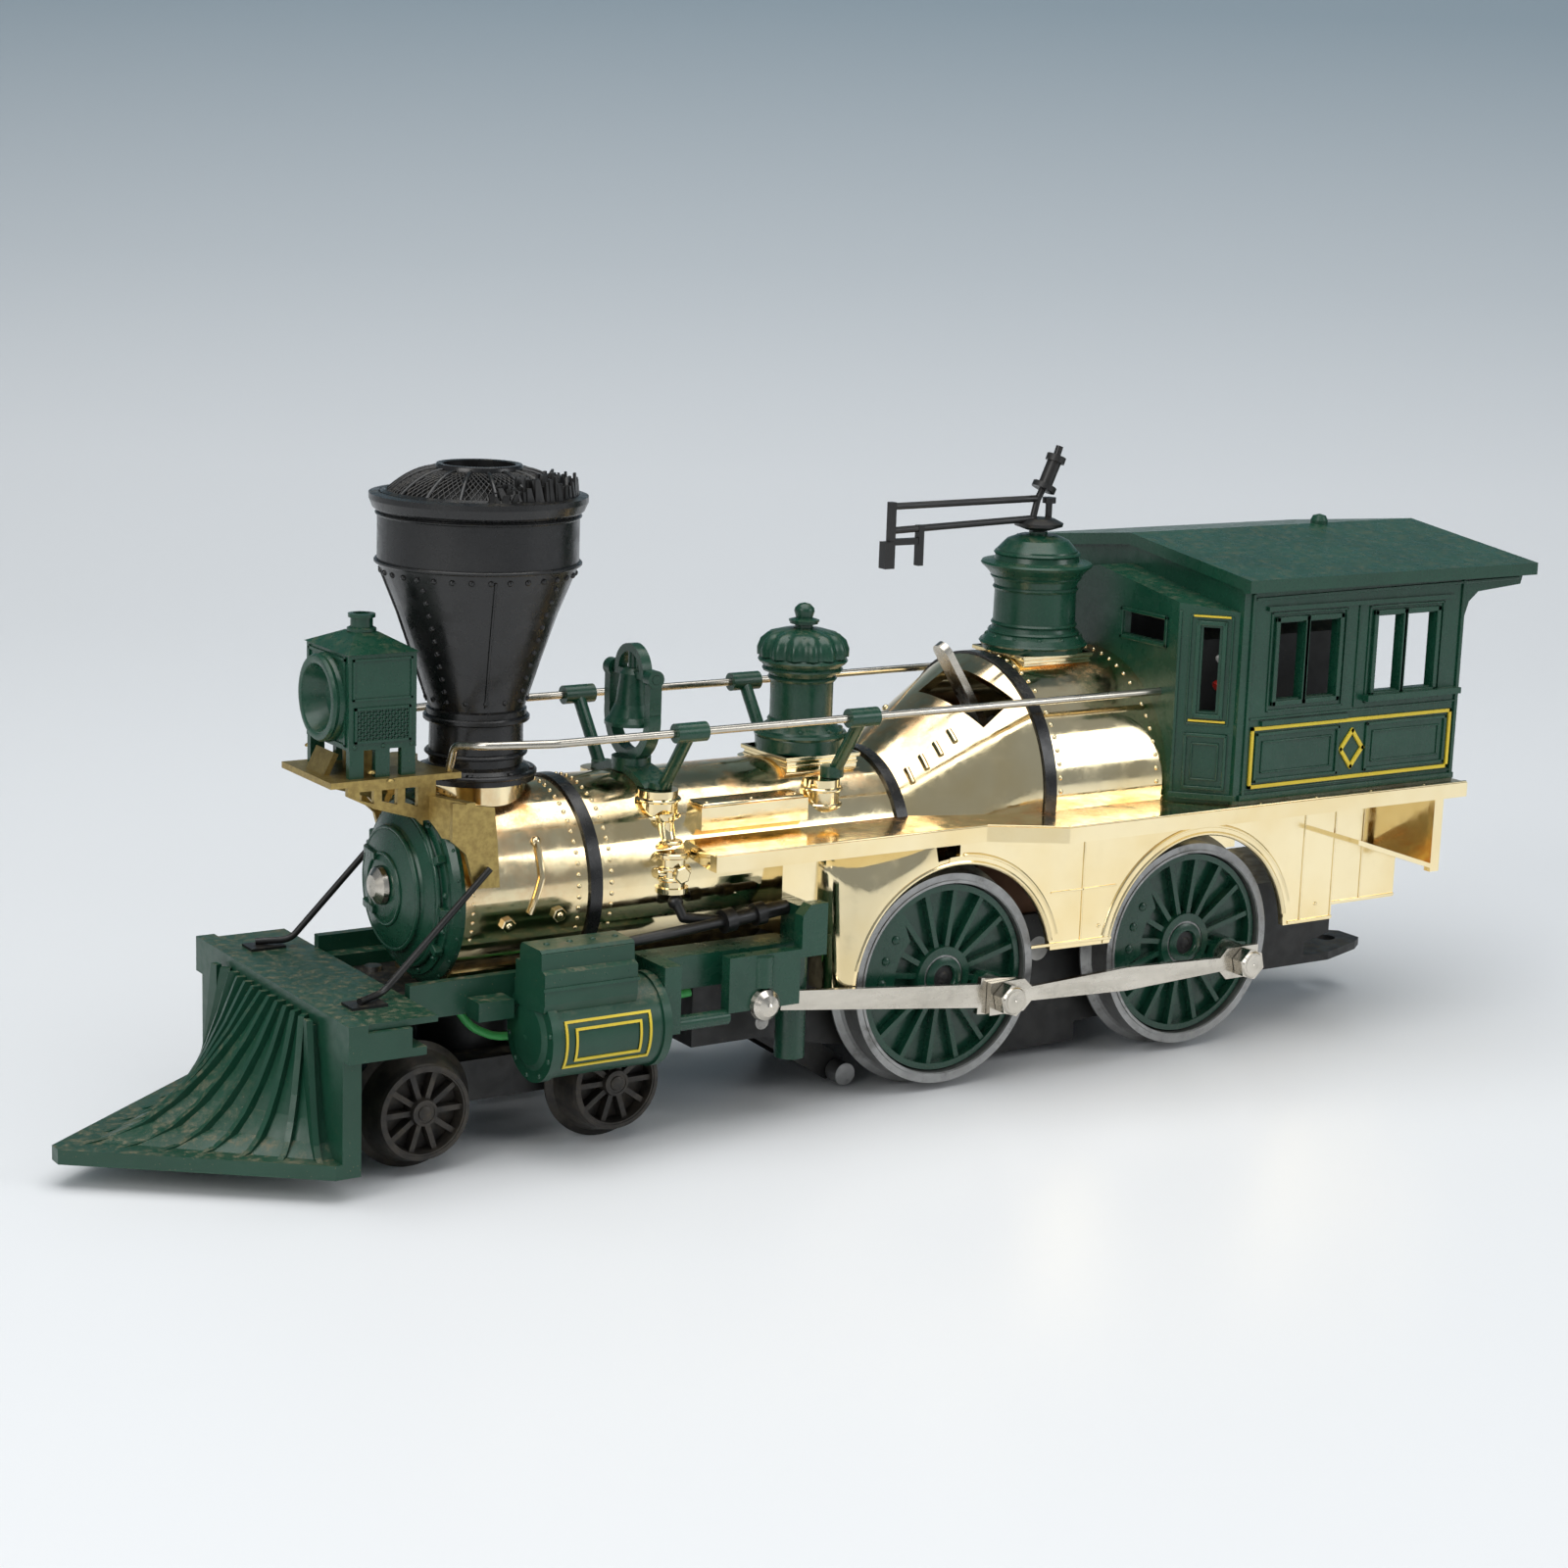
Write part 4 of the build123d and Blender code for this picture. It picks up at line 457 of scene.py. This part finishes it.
# torn fringe left on the rim
p = P(); rnd = random.Random(3)
prev = None
for k in range(44):
    a = radians(70 + k * 2.45)
    env = sin(pi * (k + 0.5) / 44) ** 0.45
    for j in range(3):
        r0 = 13.6 - j * 1.5 + rnd.uniform(-0.3, 0.3); h = 94.4 + (2.3 + rnd.uniform(-1.0, 1.1)) * env - j * 0.1 + 0.3 * j
        h = min(h, 97.9); w = 0.9 + rnd.uniform(0, 0.5)
        a1 = a + rnd.uniform(-0.05, 0.05)
        c0 = Vector((SX + r0 * cos(a), r0 * sin(a), 93.6)); tng = Vector((-sin(a), cos(a), 0)); rad = Vector((cos(a), sin(a), 0))
        top = Vector((SX + (r0 - 0.5 + rnd.uniform(-0.7, 0.9)) * cos(a1), (r0 - 0.5 + rnd.uniform(-0.7, 0.9)) * sin(a1), h))
        b = [c0 - tng * w * .6, c0 + tng * w * .6, c0 + tng * w * .5 + rad * 0.5, c0 - tng * w * .5 + rad * 0.5]
        t = [top - tng * w * .35, top + tng * w * .30, top + tng * w * .2 + rad * 0.35, top - tng * w * .3 + rad * 0.35]
        vv = [tuple(x) for x in b + t]
        p.add(vv, [(3, 2, 1, 0), (4, 5, 6, 7), (0, 1, 5, 4), (1, 2, 6, 5), (2, 3, 7, 6), (3, 0, 4, 7)])
p.out("torn_rim", "black_wire", angle=25)

# ---------------------------------------------------------------- smokebox front
def sb(r):  # x of the door's surface at radius r
    pts = [(0, 74.8), (4.0, 74.6), (8.6, 73.6), (9.4, 72.6), (11.2, 71.8), (11.6, 70.7), (12.9, 70.3), (13.5, 69.8), (14.3, 69.0)]
    for (r0, x0), (r1, x1) in zip(pts, pts[1:]):
        if r <= r1: return x0 + (x1 - x0) * (r - r0) / (r1 - r0)
    return 68.7
p = P()
for k in range(14):
    a = 2 * pi * k / 14 + 0.12
    p.dome((sb(12.2) + 0.1, 12.2 * sin(a), BZ + 12.2 * cos(a)), (1, 0.25 * sin(a), 0.25 * cos(a)), 0.5, 0.42)
for k in range(20):
    a = 2 * pi * k / 20 + 0.05
    p.dome((69.2, 14.0 * sin(a), BZ + 14.0 * cos(a)), (0.75, 0.66 * sin(a), 0.66 * cos(a)), 0.32, 0.22, 8)
# ring beads on the door
for r, t in ((11.4, 0.42), (8.9, 0.38), (5.2, 0.3)):
    p.tube([(sb(r) + 0.05, r * sin(2 * pi * i / 72), BZ + r * cos(2 * pi * i / 72)) for i in range(73)], t, 8)
# hinge straps on the right, latch lugs on the left
for dz in (-3.6, 4.4):
    q = []
    for i in range(9):
        y = -12.6 + i * 1.3; r = hypot(y, dz); q.append((sb(r) + 0.35, y, BZ + dz))
    for a, b in zip(q, q[1:]):
        d = Vector(b) - Vector(a)
        n = Vector((1, 0, 0)); u = Vector((0, 0, 0.55))
        b8 = [Vector(a) - u - n * .5, Vector(b) - u - n * .5, Vector(b) + u - n * .5, Vector(a) + u - n * .5]
        p.prism([tuple(x) for x in b8], 0, (0.75, 0, 0))
    p.rod((sb(13.0) - 0.4, -13.0, BZ + dz - 1.4), (sb(13.0) - 0.4, -13.0, BZ + dz + 1.4), 0.75)
for deg in (60, 95, 125):
    a = radians(deg); y, z = 12.3 * sin(a), BZ + 12.3 * cos(a)
    c0 = Vector((sb(12.3) + 0.2, y, z)); rad = Vector((0, sin(a), cos(a))); tg = Vector((0, cos(a), -sin(a)))
    q = [c0 - rad * 1.3 - tg * .6, c0 + rad * 0.9 - tg * .6, c0 + rad * 0.9 + tg * .6, c0 - rad * 1.3 + tg * .6]
    p.prism([tuple(x - Vector((.4, 0, 0))) for x in q], 0, (1.3, 0, 0))
p.out("smokebox_fittings", "green", bevel=0.12)
p = P(); p.box(75.2, 77.0, -0.28, 0.28, BZ + 0.6 - 2.0, BZ + 0.6 + 2.0)
# ---------------------------------------------------------------- headlight
p = P()
for s in (1, -1):
    Y = s * 7.1; n = (0, s, 0)
    for x0, x1, z0, z1 in ((74.0, 82.3, 60.6, 65.3),):
        p.frame_line(x0, x1, z0, z1, Y, 0.35, 0.28, s)
        sp = 0.95
        for kk in range(-8, 18):
            # two diagonal families clipped to the rectangle
            for sg in (1, -1):
                c0 = x0 + kk * sp
                pts = []
                za, zb = z0, z1
                xa, xb = (c0, c0 + (z1 - z0)) if sg > 0 else (c0 + (z1 - z0), c0)
                # parametric clip in x
                t0, t1 = 0.0, 1.0
                dx = xb - xa
                for lim, lo in ((x0, True), (x1, False)):
                    t = (lim - xa) / dx
                    if (dx > 0) == lo: t0 = max(t0, t)
                    else: t1 = min(t1, t)
                if t1 - t0 > 0.04:
                    p.strip([(xa + dx * t0, Y, za + (zb - za) * t0), (xa + dx * t1, Y, za + (zb - za) * t1)], n, 0.20, 0.20)
    p.frame_line(73.7, 82.6, 66.6, 72.2, Y, 0.3, 0.2, s)
    for x in (73.6, 78.0, 82.4):
        for z in (59.9,):
            p.dome((x, Y, z), n, 0.35, 0.25, 8)
for y in (-6.0, 6.0):
    p.strip([(83.3, y, 60.2), (83.3, y, 72.4)], (1, 0, 0), 0.4, 0.25)
p.strip([(83.3, -6.0, 72.2), (83.3, 6.0, 72.2)], (1, 0, 0), 0.4, 0.25); p.strip([(83.3, -6.0, 60.0), (83.3, 6.0, 60.0)], (1, 0, 0), 0.4, 0.25)
p.lathe([(4.6, -0.4), (5.0, 1.85), (5.45, 2.0), (6.0, 1.9), (6.25, 1.5), (6.1, 1.0), (6.35, 0.5), (6.3, 0)], (83.2, 0, 66.0), (1, 0, 0), 72)
p.lathe([(1.6, 0), (2.1, 0.2), (2.1, 0.6), (1.7, 0.8)], (78.1, 0, 75.0), (0, 0, 1), 32)
p.lathe([(1.2, 0), (1.95, 0.1), (1.95, 0.6), (1.2, 0.65)], (78.1, 0, 77.05), (0, 0, 1), 32)
p.out("headlight_details", "green", bevel=0)
p = P(); p.lathe([(0.0, 0.0), (3.0, 0.25), (4.4, 1.0), (5.0, 2.6)], (81.7, 0, 66.0), (1, 0, 0), 48)
p.out("headlight_reflector", "green_clean")

# ---------------------------------------------------------------- splasher quarter rounds ahead of the front drivers
for s, tag in ((1, "left"), (-1, "right")):
    v, f = [], []; NA_, NB_ = 26, 7
    for i in range(NA_ + 1):
        th = radians(2 + 76 * i / NA_); ro = min(22.9 / cos(th), 22.3 / sin(th)); k = 1.0 if i < NA_ * 0.55 else max(0.0, 1 - (i / NA_ - 0.55) / 0.45)
        for j in range(NB_ + 1):
            ph = 0.5 * pi * j / NB_
            r = 19.3 + (ro - 19.3) * sin(ph); y = 22.1 - 6.0 * k * (1 - cos(ph))
            v.append((-12.4 + r * cos(th), s * y, 18.1 + r * sin(th)))
    n0 = len(v); m_ = NB_ + 1
    v += [(x, y - s * 0.5, z) for x, y, z in v]
    for i in range(NA_):
        for j in range(NB_):
            a = i * m_ + j; f.append((a, a + m_, a + m_ + 1, a + 1)); f.append((n0 + a, n0 + a + 1, n0 + a + m_ + 1, n0 + a + m_))
        for j in (0, NB_):
            a = i * m_ + j; f.append((a, a + m_, n0 + a + m_, n0 + a))
    for j in range(NB_):
        for i in (0, NA_):
            a = i * m_ + j; f.append((a, a + 1, n0 + a + 1, n0 + a))
    mk("splasher_" + tag, v, f, "gold", angle=50)

# ---------------------------------------------------------------- cab mouldings and lining
for s, tag in ((1, "left"), (-1, "right")):
    Y = s * 28.2; n = (0, s, 0)
    p = P()
    for x0, x1, z0, z1, w, t in ((-68.5, -74.8, 59.1, 72.7, 0.8, 0.5), (-74.9, -82.2, 59.1, 72.7, 0.8, 0.5), (-89.8, -96.2, 59.1, 72.7, 0.8, 0.5), (-96.4, -103.8, 59.1, 72.7, 0.8, 0.5),
                                (-67.4, -83.4, 57.9, 73.7, 0.35, 0.25), (-88.6, -105.0, 57.9, 73.7, 0.35, 0.25),
                                (-65.6, -83.2, 46.6, 54.2, 0.55, 0.35), (-67.0, -81.8, 47.9, 52.9, 0.30, 0.22),
                                (-89.6, -107.2, 46.6, 54.2, 0.55, 0.35), (-91.0, -105.8, 47.9, 52.9, 0.30, 0.22)):
        p.frame_line(x0, x1, z0, z1, Y, w, t, s)
    p.strip([(-63.0, Y, 44.0), (-109.4, Y, 44.0)], n, 1.0, 0.45)
    p.strip([(-63.0, Y, 45.0), (-109.4, Y, 45.0)], n, 0.3, 0.25)
    p.strip([(-64.0, Y, 56.8), (-109.0, Y, 56.8)], n, 0.35, 0.28)
    p.strip([(-63.3, Y, 44.2), (-63.3, Y, 76.8)], n, 0.6, 0.35); p.strip([(-109.3, Y, 44.2), (-109.3, Y, 76.8)], n, 0.6, 0.35)
    p.strip([(-86.3, Y, 57.4), (-86.3, Y, 74.0)], n, 0.35, 0.25)
    p.strip([(-64.0, Y, 76.2), (-122.0, Y, 76.9)], n, 0.5, 0.3)
    # bay wall
    A, B = Vector((-54.5, s * 20.6, 0)), Vector((-62.0, s * 28.2, 0)); d = (B - A).normalized(); nb_ = (0.712, 0.702 * s, 0); L0 = (B - A).length
    def BW(u, z): q = A + d * u; return (q.x, q.y, z)
    def fr(u0, u1, z0, z1, w, t):
        for a, b in (((u0, z0), (u1, z0)), ((u1, z0), (u1, z1)), ((u1, z1), (u0, z1)), ((u0, z1), (u0, z0))):
            p.strip([BW(*a), BW(*b)], nb_, w, t)
    c_ = L0 / 2
    fr(c_ - 2.1, c_ + 2.1, 57.1, 72.1, 0.7, 0.45); fr(c_ - 3.3, c_ + 3.3, 55.8, 73.2, 0.3, 0.25)
    fr(c_ - 3.2, c_ + 3.2, 45.4, 54.0, 0.5, 0.35); fr(c_ - 2.1, c_ + 2.1, 46.8, 52.6, 0.3, 0.22)
    p.strip([BW(0.4, 44.0), BW(L0 - 0.4, 44.0)], nb_, 1.0, 0.4)
    p.strip([BW(0.3, 44.0), BW(0.3, 73.6)], nb_, 0.5, 0.35)
    # front wall window frames
    for y0, y1 in ((6.7, 17.9),):
        for a, b in (((y0, 67.7), (y1, 67.7)), ((y1, 67.7), (y1, 72.2)), ((y1, 72.2), (y0, 72.2)), ((y0, 72.2), (y0, 67.7))):
            p.strip([(-54.5, s * a[0], a[1]), (-54.5, s * b[0], b[1])], (1, 0, 0), 0.6, 0.4)
    p.out("cab_mouldings_" + tag, "green", bevel=0.09)
    p = P()
    def yl(x0, x1, z0, z1, w=0.55): p.frame_line(x0, x1, z0, z1, Y, w, 0.34, s)
    yl(-64.6, -108.2, 45.7, 55.2)
    p.strip([(-83.9, Y, 50.4), (-86.3, Y, 53.4), (-88.7, Y, 50.4), (-86.3, Y, 47.4), (-83.9, Y, 50.4)], n, 0.6, 0.34)
    for zz in (56.3, 73.2):
        p.strip([BW(c_ - 2.8, zz), BW(c_ + 2.8, zz)], nb_, 0.3, 0.3)
    p.out("cab_lining_" + tag, "yellow")
    # cylinder lining and studs
    p = P()
    def CY(x, ph): return (x, s * (22.0 + 6.62 * cos(ph)), 19.6 + 6.62 * sin(ph)), (0, s * cos(ph), sin(ph))
    for x0, x1, p0, p1 in ((46.0, 59.6, -34, 26), (47.6, 58.0, -24, 16)):
        for ph in (p0, p1):
            q, nn = CY(x0, radians(ph)); q2, _ = CY(x1, radians(ph)); p.strip([q, q2], nn, 0.4, 0.16)
        for x in (x0, x1):
            for i in range(12):
                a0 = radians(p0 + (p1 - p0) * i / 12); a1 = radians(p0 + (p1 - p0) * (i + 1) / 12)
                q, nn = CY(x, (a0 + a1) / 2); qa, _ = CY(x, a0); qb, _ = CY(x, a1); p.strip([qa, qb], nn, 0.4, 0.16)
    p.out("cylinder_lining_" + tag, "yellow")
    p = P()
    for k in range(10):
        a = 2 * pi * k / 10 + 0.2
        p.dome((62.0, s * (22.0 + 6.2 * cos(a)), 19.6 + 6.2 * sin(a)), (1, 0, 0), 0.42, 0.32, 8)
    p.strip([(47.6, s * 27.35, 27.4), (62.6, s * 27.35, 27.4)], (0, s, 0.05), 0.5, 0.22)
    p.strip([(47.8, s * 25.9, 32.4), (62.4, s * 25.9, 32.4)], (0, s * 0.5, 0.5), 0.4, 0.2)
    for x in (49.0, 52.7, 56.4, 60.1):
        p.dome((x, s * 23.0, 32.75), (0, 0, 1), 0.5, 0.35)
        p.dome((x, s * 27.0, 28.7), (0, s, 0.1), 0.42, 0.35)
    p.out("cylinder_studs_" + tag, "green")

# ---------------------------------------------------------------- driver hubs and balance weights
for tag, xa in (("front", -12.4), ("rear", -61.2)):
    for s, side_, a in ((1, "left", radians(199.2)), (-1, "right", radians(109.2))):
        body = tag + "_driver"
        p = P()
        p.lathe([(3.0, 18.9), (3.3, 19.0), (3.3, 19.25), (2.9, 19.45), (2.1, 19.5), (1.9, 19.2), (1.9, 18.6)], (xa, 0, 18.1), (0, s, 0), 40)
        p.out("hub_cap_" + tag + "_" + side_, "green_clean", body)
        p = P(); p.lathe([(1.95, 18.9), (1.0, 19.0), (0.6, 19.35), (0, 19.4)], (xa, 0, 18.1), (0, s, 0), 32)
        p.out("hub_centre_" + tag + "_" + side_, "deck_black", body)
        p = P()
        for dk in (-18, 0, 18):
            t = a + pi + radians(dk); p.dome((xa + 11.6 * cos(t), s * 18.9, 18.1 + 11.6 * sin(t)), (0, s, 0), 0.75, 0.4, 12)
        p.out("balance_rivets_" + tag + "_" + side_, "green_clean", body)
        p = P()
        p.lathe([(15.3, 19.55), (15.35, 19.86), (15.7, 19.86), (15.75, 19.6)], (xa, 0, 18.1), (0, s, 0), 96)
        p.out("tyre_rim_" + tag + "_" + side_, "zinc", body)

# ---------------------------------------------------------------- domes
def flute(t, h, r): return 1 + (0.055 * cos(14 * t) if 5.0 < r < 6.9 and 66.9 < h < 70.6 else 0)
p = P()
p.lathe([(6.0, 66.9), (6.75, 67.0), (6.8, 68.2), (6.3, 69.6), (5.3, 70.5), (3.4, 71.1), (1.6, 71.3), (1.5, 71.0)], (3.3, 0, 0), segs=112, mod=flute)
for z, r in ((54.9, 7.2), (57.0, 5.15), (63.6, 5.3), (65.0, 6.2), (66.4, 6.9)):
    p.lathe([(r - 0.8, -0.35), (r - 0.1, -0.35), (r + 0.12, 0), (r - 0.1, 0.35), (r - 0.8, 0.35)], (3.3, 0, z), segs=64)
for k in range(8):
    a = 2 * pi * k / 8 + 0.2; p.dome((3.3 + 6.2 * cos(a), 6.2 * sin(a), 55.9), (0.3 * cos(a), 0.3 * sin(a), 1), 0.4, 0.3, 8)
p.lathe([(1.2, 72.2), (2.35, 72.3), (2.4, 72.55), (1.3, 72.9), (1.6, 73.9), (1.5, 74.4), (0.9, 75.0), (0, 75.25)], (3.3, 0, 0), segs=32)
p.out("sand_dome_cap", "green")
p = P()
for z, r in ((66.5, 8.7), (68.3, 7.35), (69.6, 6.9), (75.4, 6.85), (77.2, 7.3), (79.3, 8.95), (81.0, 6.9)):
    p.lathe([(r - 0.8, -0.32), (r - 0.1, -0.32), (r + 0.12, 0), (r - 0.1, 0.32), (r - 0.8, 0.32)], (-41.4, 0, z), segs=72)
for k in range(12):
    a = 2 * pi * k / 12; p.dome((-41.4 + 7.6 * cos(a), 7.6 * sin(a), 67.7), (0.4 * cos(a), 0.4 * sin(a), 1), 0.42, 0.32, 8)
p.out("steam_dome_beads", "green")

# ---------------------------------------------------------------- bell mouth lip
p = P()
p.lathe([(3.5, 0.0), (4.15, 0.15), (4.18, 0.55), (3.7, 0.9), (3.3, 1.2)], (33.6, 0, 58.45), (0, 0, 1), 48)
p.out("bell_lip", "green_clean", "bell")

# ---------------------------------------------------------------- headlight bracket details
p = P()
for y0 in (-14.0, -7.5, 7.5, 14.0):
    p.dome((80.0, y0 if abs(y0) < 10 else y0 * 0.98, 56.28), (0, 0, 1), 0.6, 0.35)
p.out("bracket_rivets", "brass")

# ---------------------------------------------------------------- rear platform
p = P()
for s in (1, -1):
    for x in (-66.0, -78.0, -90.0, -102.0):
        p.dome((x, s * 29.9, 43.1), (0, 0, 1), 0.4, 0.25, 8)
p.out("platform_rivets", "gold_side")
# cab interior touches
p = P(); p.rod((-61.8, 22.0, 61.2), (-62.6, 22.0, 61.6), 0.9); p.out("gauge_red", "red")
p = P(); p.rod((-61.8, 22.4, 65.6), (-62.4, 22.4, 66.0), 0.8); p.out("gauge_white", "white")
# truck wheel hub tips
for x, z, body in ((77.0, 9.3, "truck_front"), (46.0, 9.3, "truck_rear")):
    for s in (1, -1):
        p = P(); p.dome((x, s * 19.3, z), (0, s, 0), 1.1, 0.35, 16)
        p.lathe([(6.2, 18.8), (6.3, 19.42), (6.9, 19.4), (7.0, 18.9)], (x, 0, z), (0, s, 0), 64)
        p.out("truck_hub_%s_%d" % (body, s), "wheel_black", body)

#DETAIL#
# ---------------------------------------------------------------- camera
C = Vector((260.9, 389.98, 144.64)) * MM
yaw, pit, roll = radians(33.17), radians(11.86), radians(-1.94)
fwd = Vector((-sin(yaw) * cos(pit), -cos(yaw) * cos(pit), -sin(pit)))
rt = fwd.cross(Vector((0, 0, 1))).normalized(); dn = fwd.cross(rt)
c_, s_ = cos(roll), sin(roll)
r2, d2 = rt * c_ + dn * s_, dn * c_ - rt * s_
cam = bpy.data.cameras.new("camera"); cam.sensor_width = 36; cam.lens = 70.17; cam.clip_start = 0.01; cam.clip_end = 50
co = bpy.data.objects.new("camera", cam)
X, Y, Z = r2, -d2, -fwd
co.matrix_world = Matrix(((X.x, Y.x, Z.x, C.x), (X.y, Y.y, Z.y, C.y), (X.z, Y.z, Z.z, C.z), (0, 0, 0, 1)))
bpy.context.scene.collection.objects.link(co)
bpy.context.scene.camera = co

# ---------------------------------------------------------------- stage and light
back = Vector((-sin(yaw), -cos(yaw), 0)); side = Vector((cos(yaw), -sin(yaw), 0))
prof = [(-1.6, 0.0), (0.10, 0.0), (0.30, 0.0), (0.42, 0.0)]
RR = 0.9
for i in range(1, 25):
    a = radians(90 * i / 24); prof.append((0.42 + RR * sin(a), RR * (1 - cos(a))))
prof.append((0.42 + RR, 2.6))
v, f = [], []
for u in (-3.0, 3.0):
    for d, z in prof:
        q = back * d + side * u
        v.append((q.x / MM, q.y / MM, z / MM - 0.02))
n = len(prof)
f = [(i, i + 1, n + i + 1, n + i) for i in range(n - 1)]
me = bpy.data.meshes.new("floor"); me.from_pydata([tuple(c * MM for c in q) for q in v], [], f)
floor = bpy.data.objects.new("floor", me); bpy.context.scene.collection.objects.link(floor)
for p in me.polygons: p.use_smooth = True
mf, nt, b = new_mat("floor_paper_painted_shade"); g = G(nt)
# painted shade: the backdrop colour darkens from near-white on the floor to grey-blue up the curve and wall, standing
# in for light falling off along the sweep
h = g.rng(g.pz, 0.0, 0.42, smooth=False)
rmp = nt.nodes.new("ShaderNodeValToRGB")
nt.links.new(h, rmp.inputs[0])
cr = rmp.color_ramp
cr.elements[0].position = 0.0; cr.elements[0].color = (0.80, 0.81, 0.82, 1)
cr.elements[1].position = 1.0; cr.elements[1].color = (0.14, 0.21, 0.25, 1)
for pos, col in ((0.06, (0.76, 0.775, 0.79, 1)), (0.22, (0.56, 0.60, 0.63, 1)), (0.5, (0.30, 0.37, 0.42, 1))):
    e = cr.elements.new(pos); e.color = col
nt.links.new(rmp.outputs[0], b.inputs["Base Color"])
b.inputs["Roughness"].default_value = 0.35
b.inputs["Specular IOR Level"].default_value = 0.25
me.materials.append(mf)

def area(name, loc, look, size, power, col=(1, 1, 1), size_y=None):
    l = bpy.data.lights.new(name, "AREA"); l.energy = power; l.color = col
    l.shape = "RECTANGLE"; l.size = size; l.size_y = size_y or size
    o = bpy.data.objects.new(name, l); o.location = loc
    o.rotation_euler = (Vector(look) - Vector(loc)).to_track_quat("-Z", "Y").to_euler()
    bpy.context.scene.collection.objects.link(o); return o
area("top_soft", (0.05, 0.10, 1.15), (0, 0, 0), 1.3, 13.2)
area("left_soft", (0.95, 0.35, 0.55), (0.03, 0, 0.04), 0.55, 4.0, (1, 0.985, 0.96))
area("right_soft", (-0.75, 0.85, 0.5), (-0.03, 0, 0.05), 0.5, 2.6, (0.97, 0.985, 1))
w = bpy.data.worlds.new("studio"); bpy.context.scene.world = w; w.use_nodes = True
w.node_tree.nodes["Background"].inputs[0].default_value = (0.80, 0.86, 0.92, 1)
w.node_tree.nodes["Background"].inputs[1].default_value = 0.36
bpy.context.scene.view_settings.view_transform = "Standard"
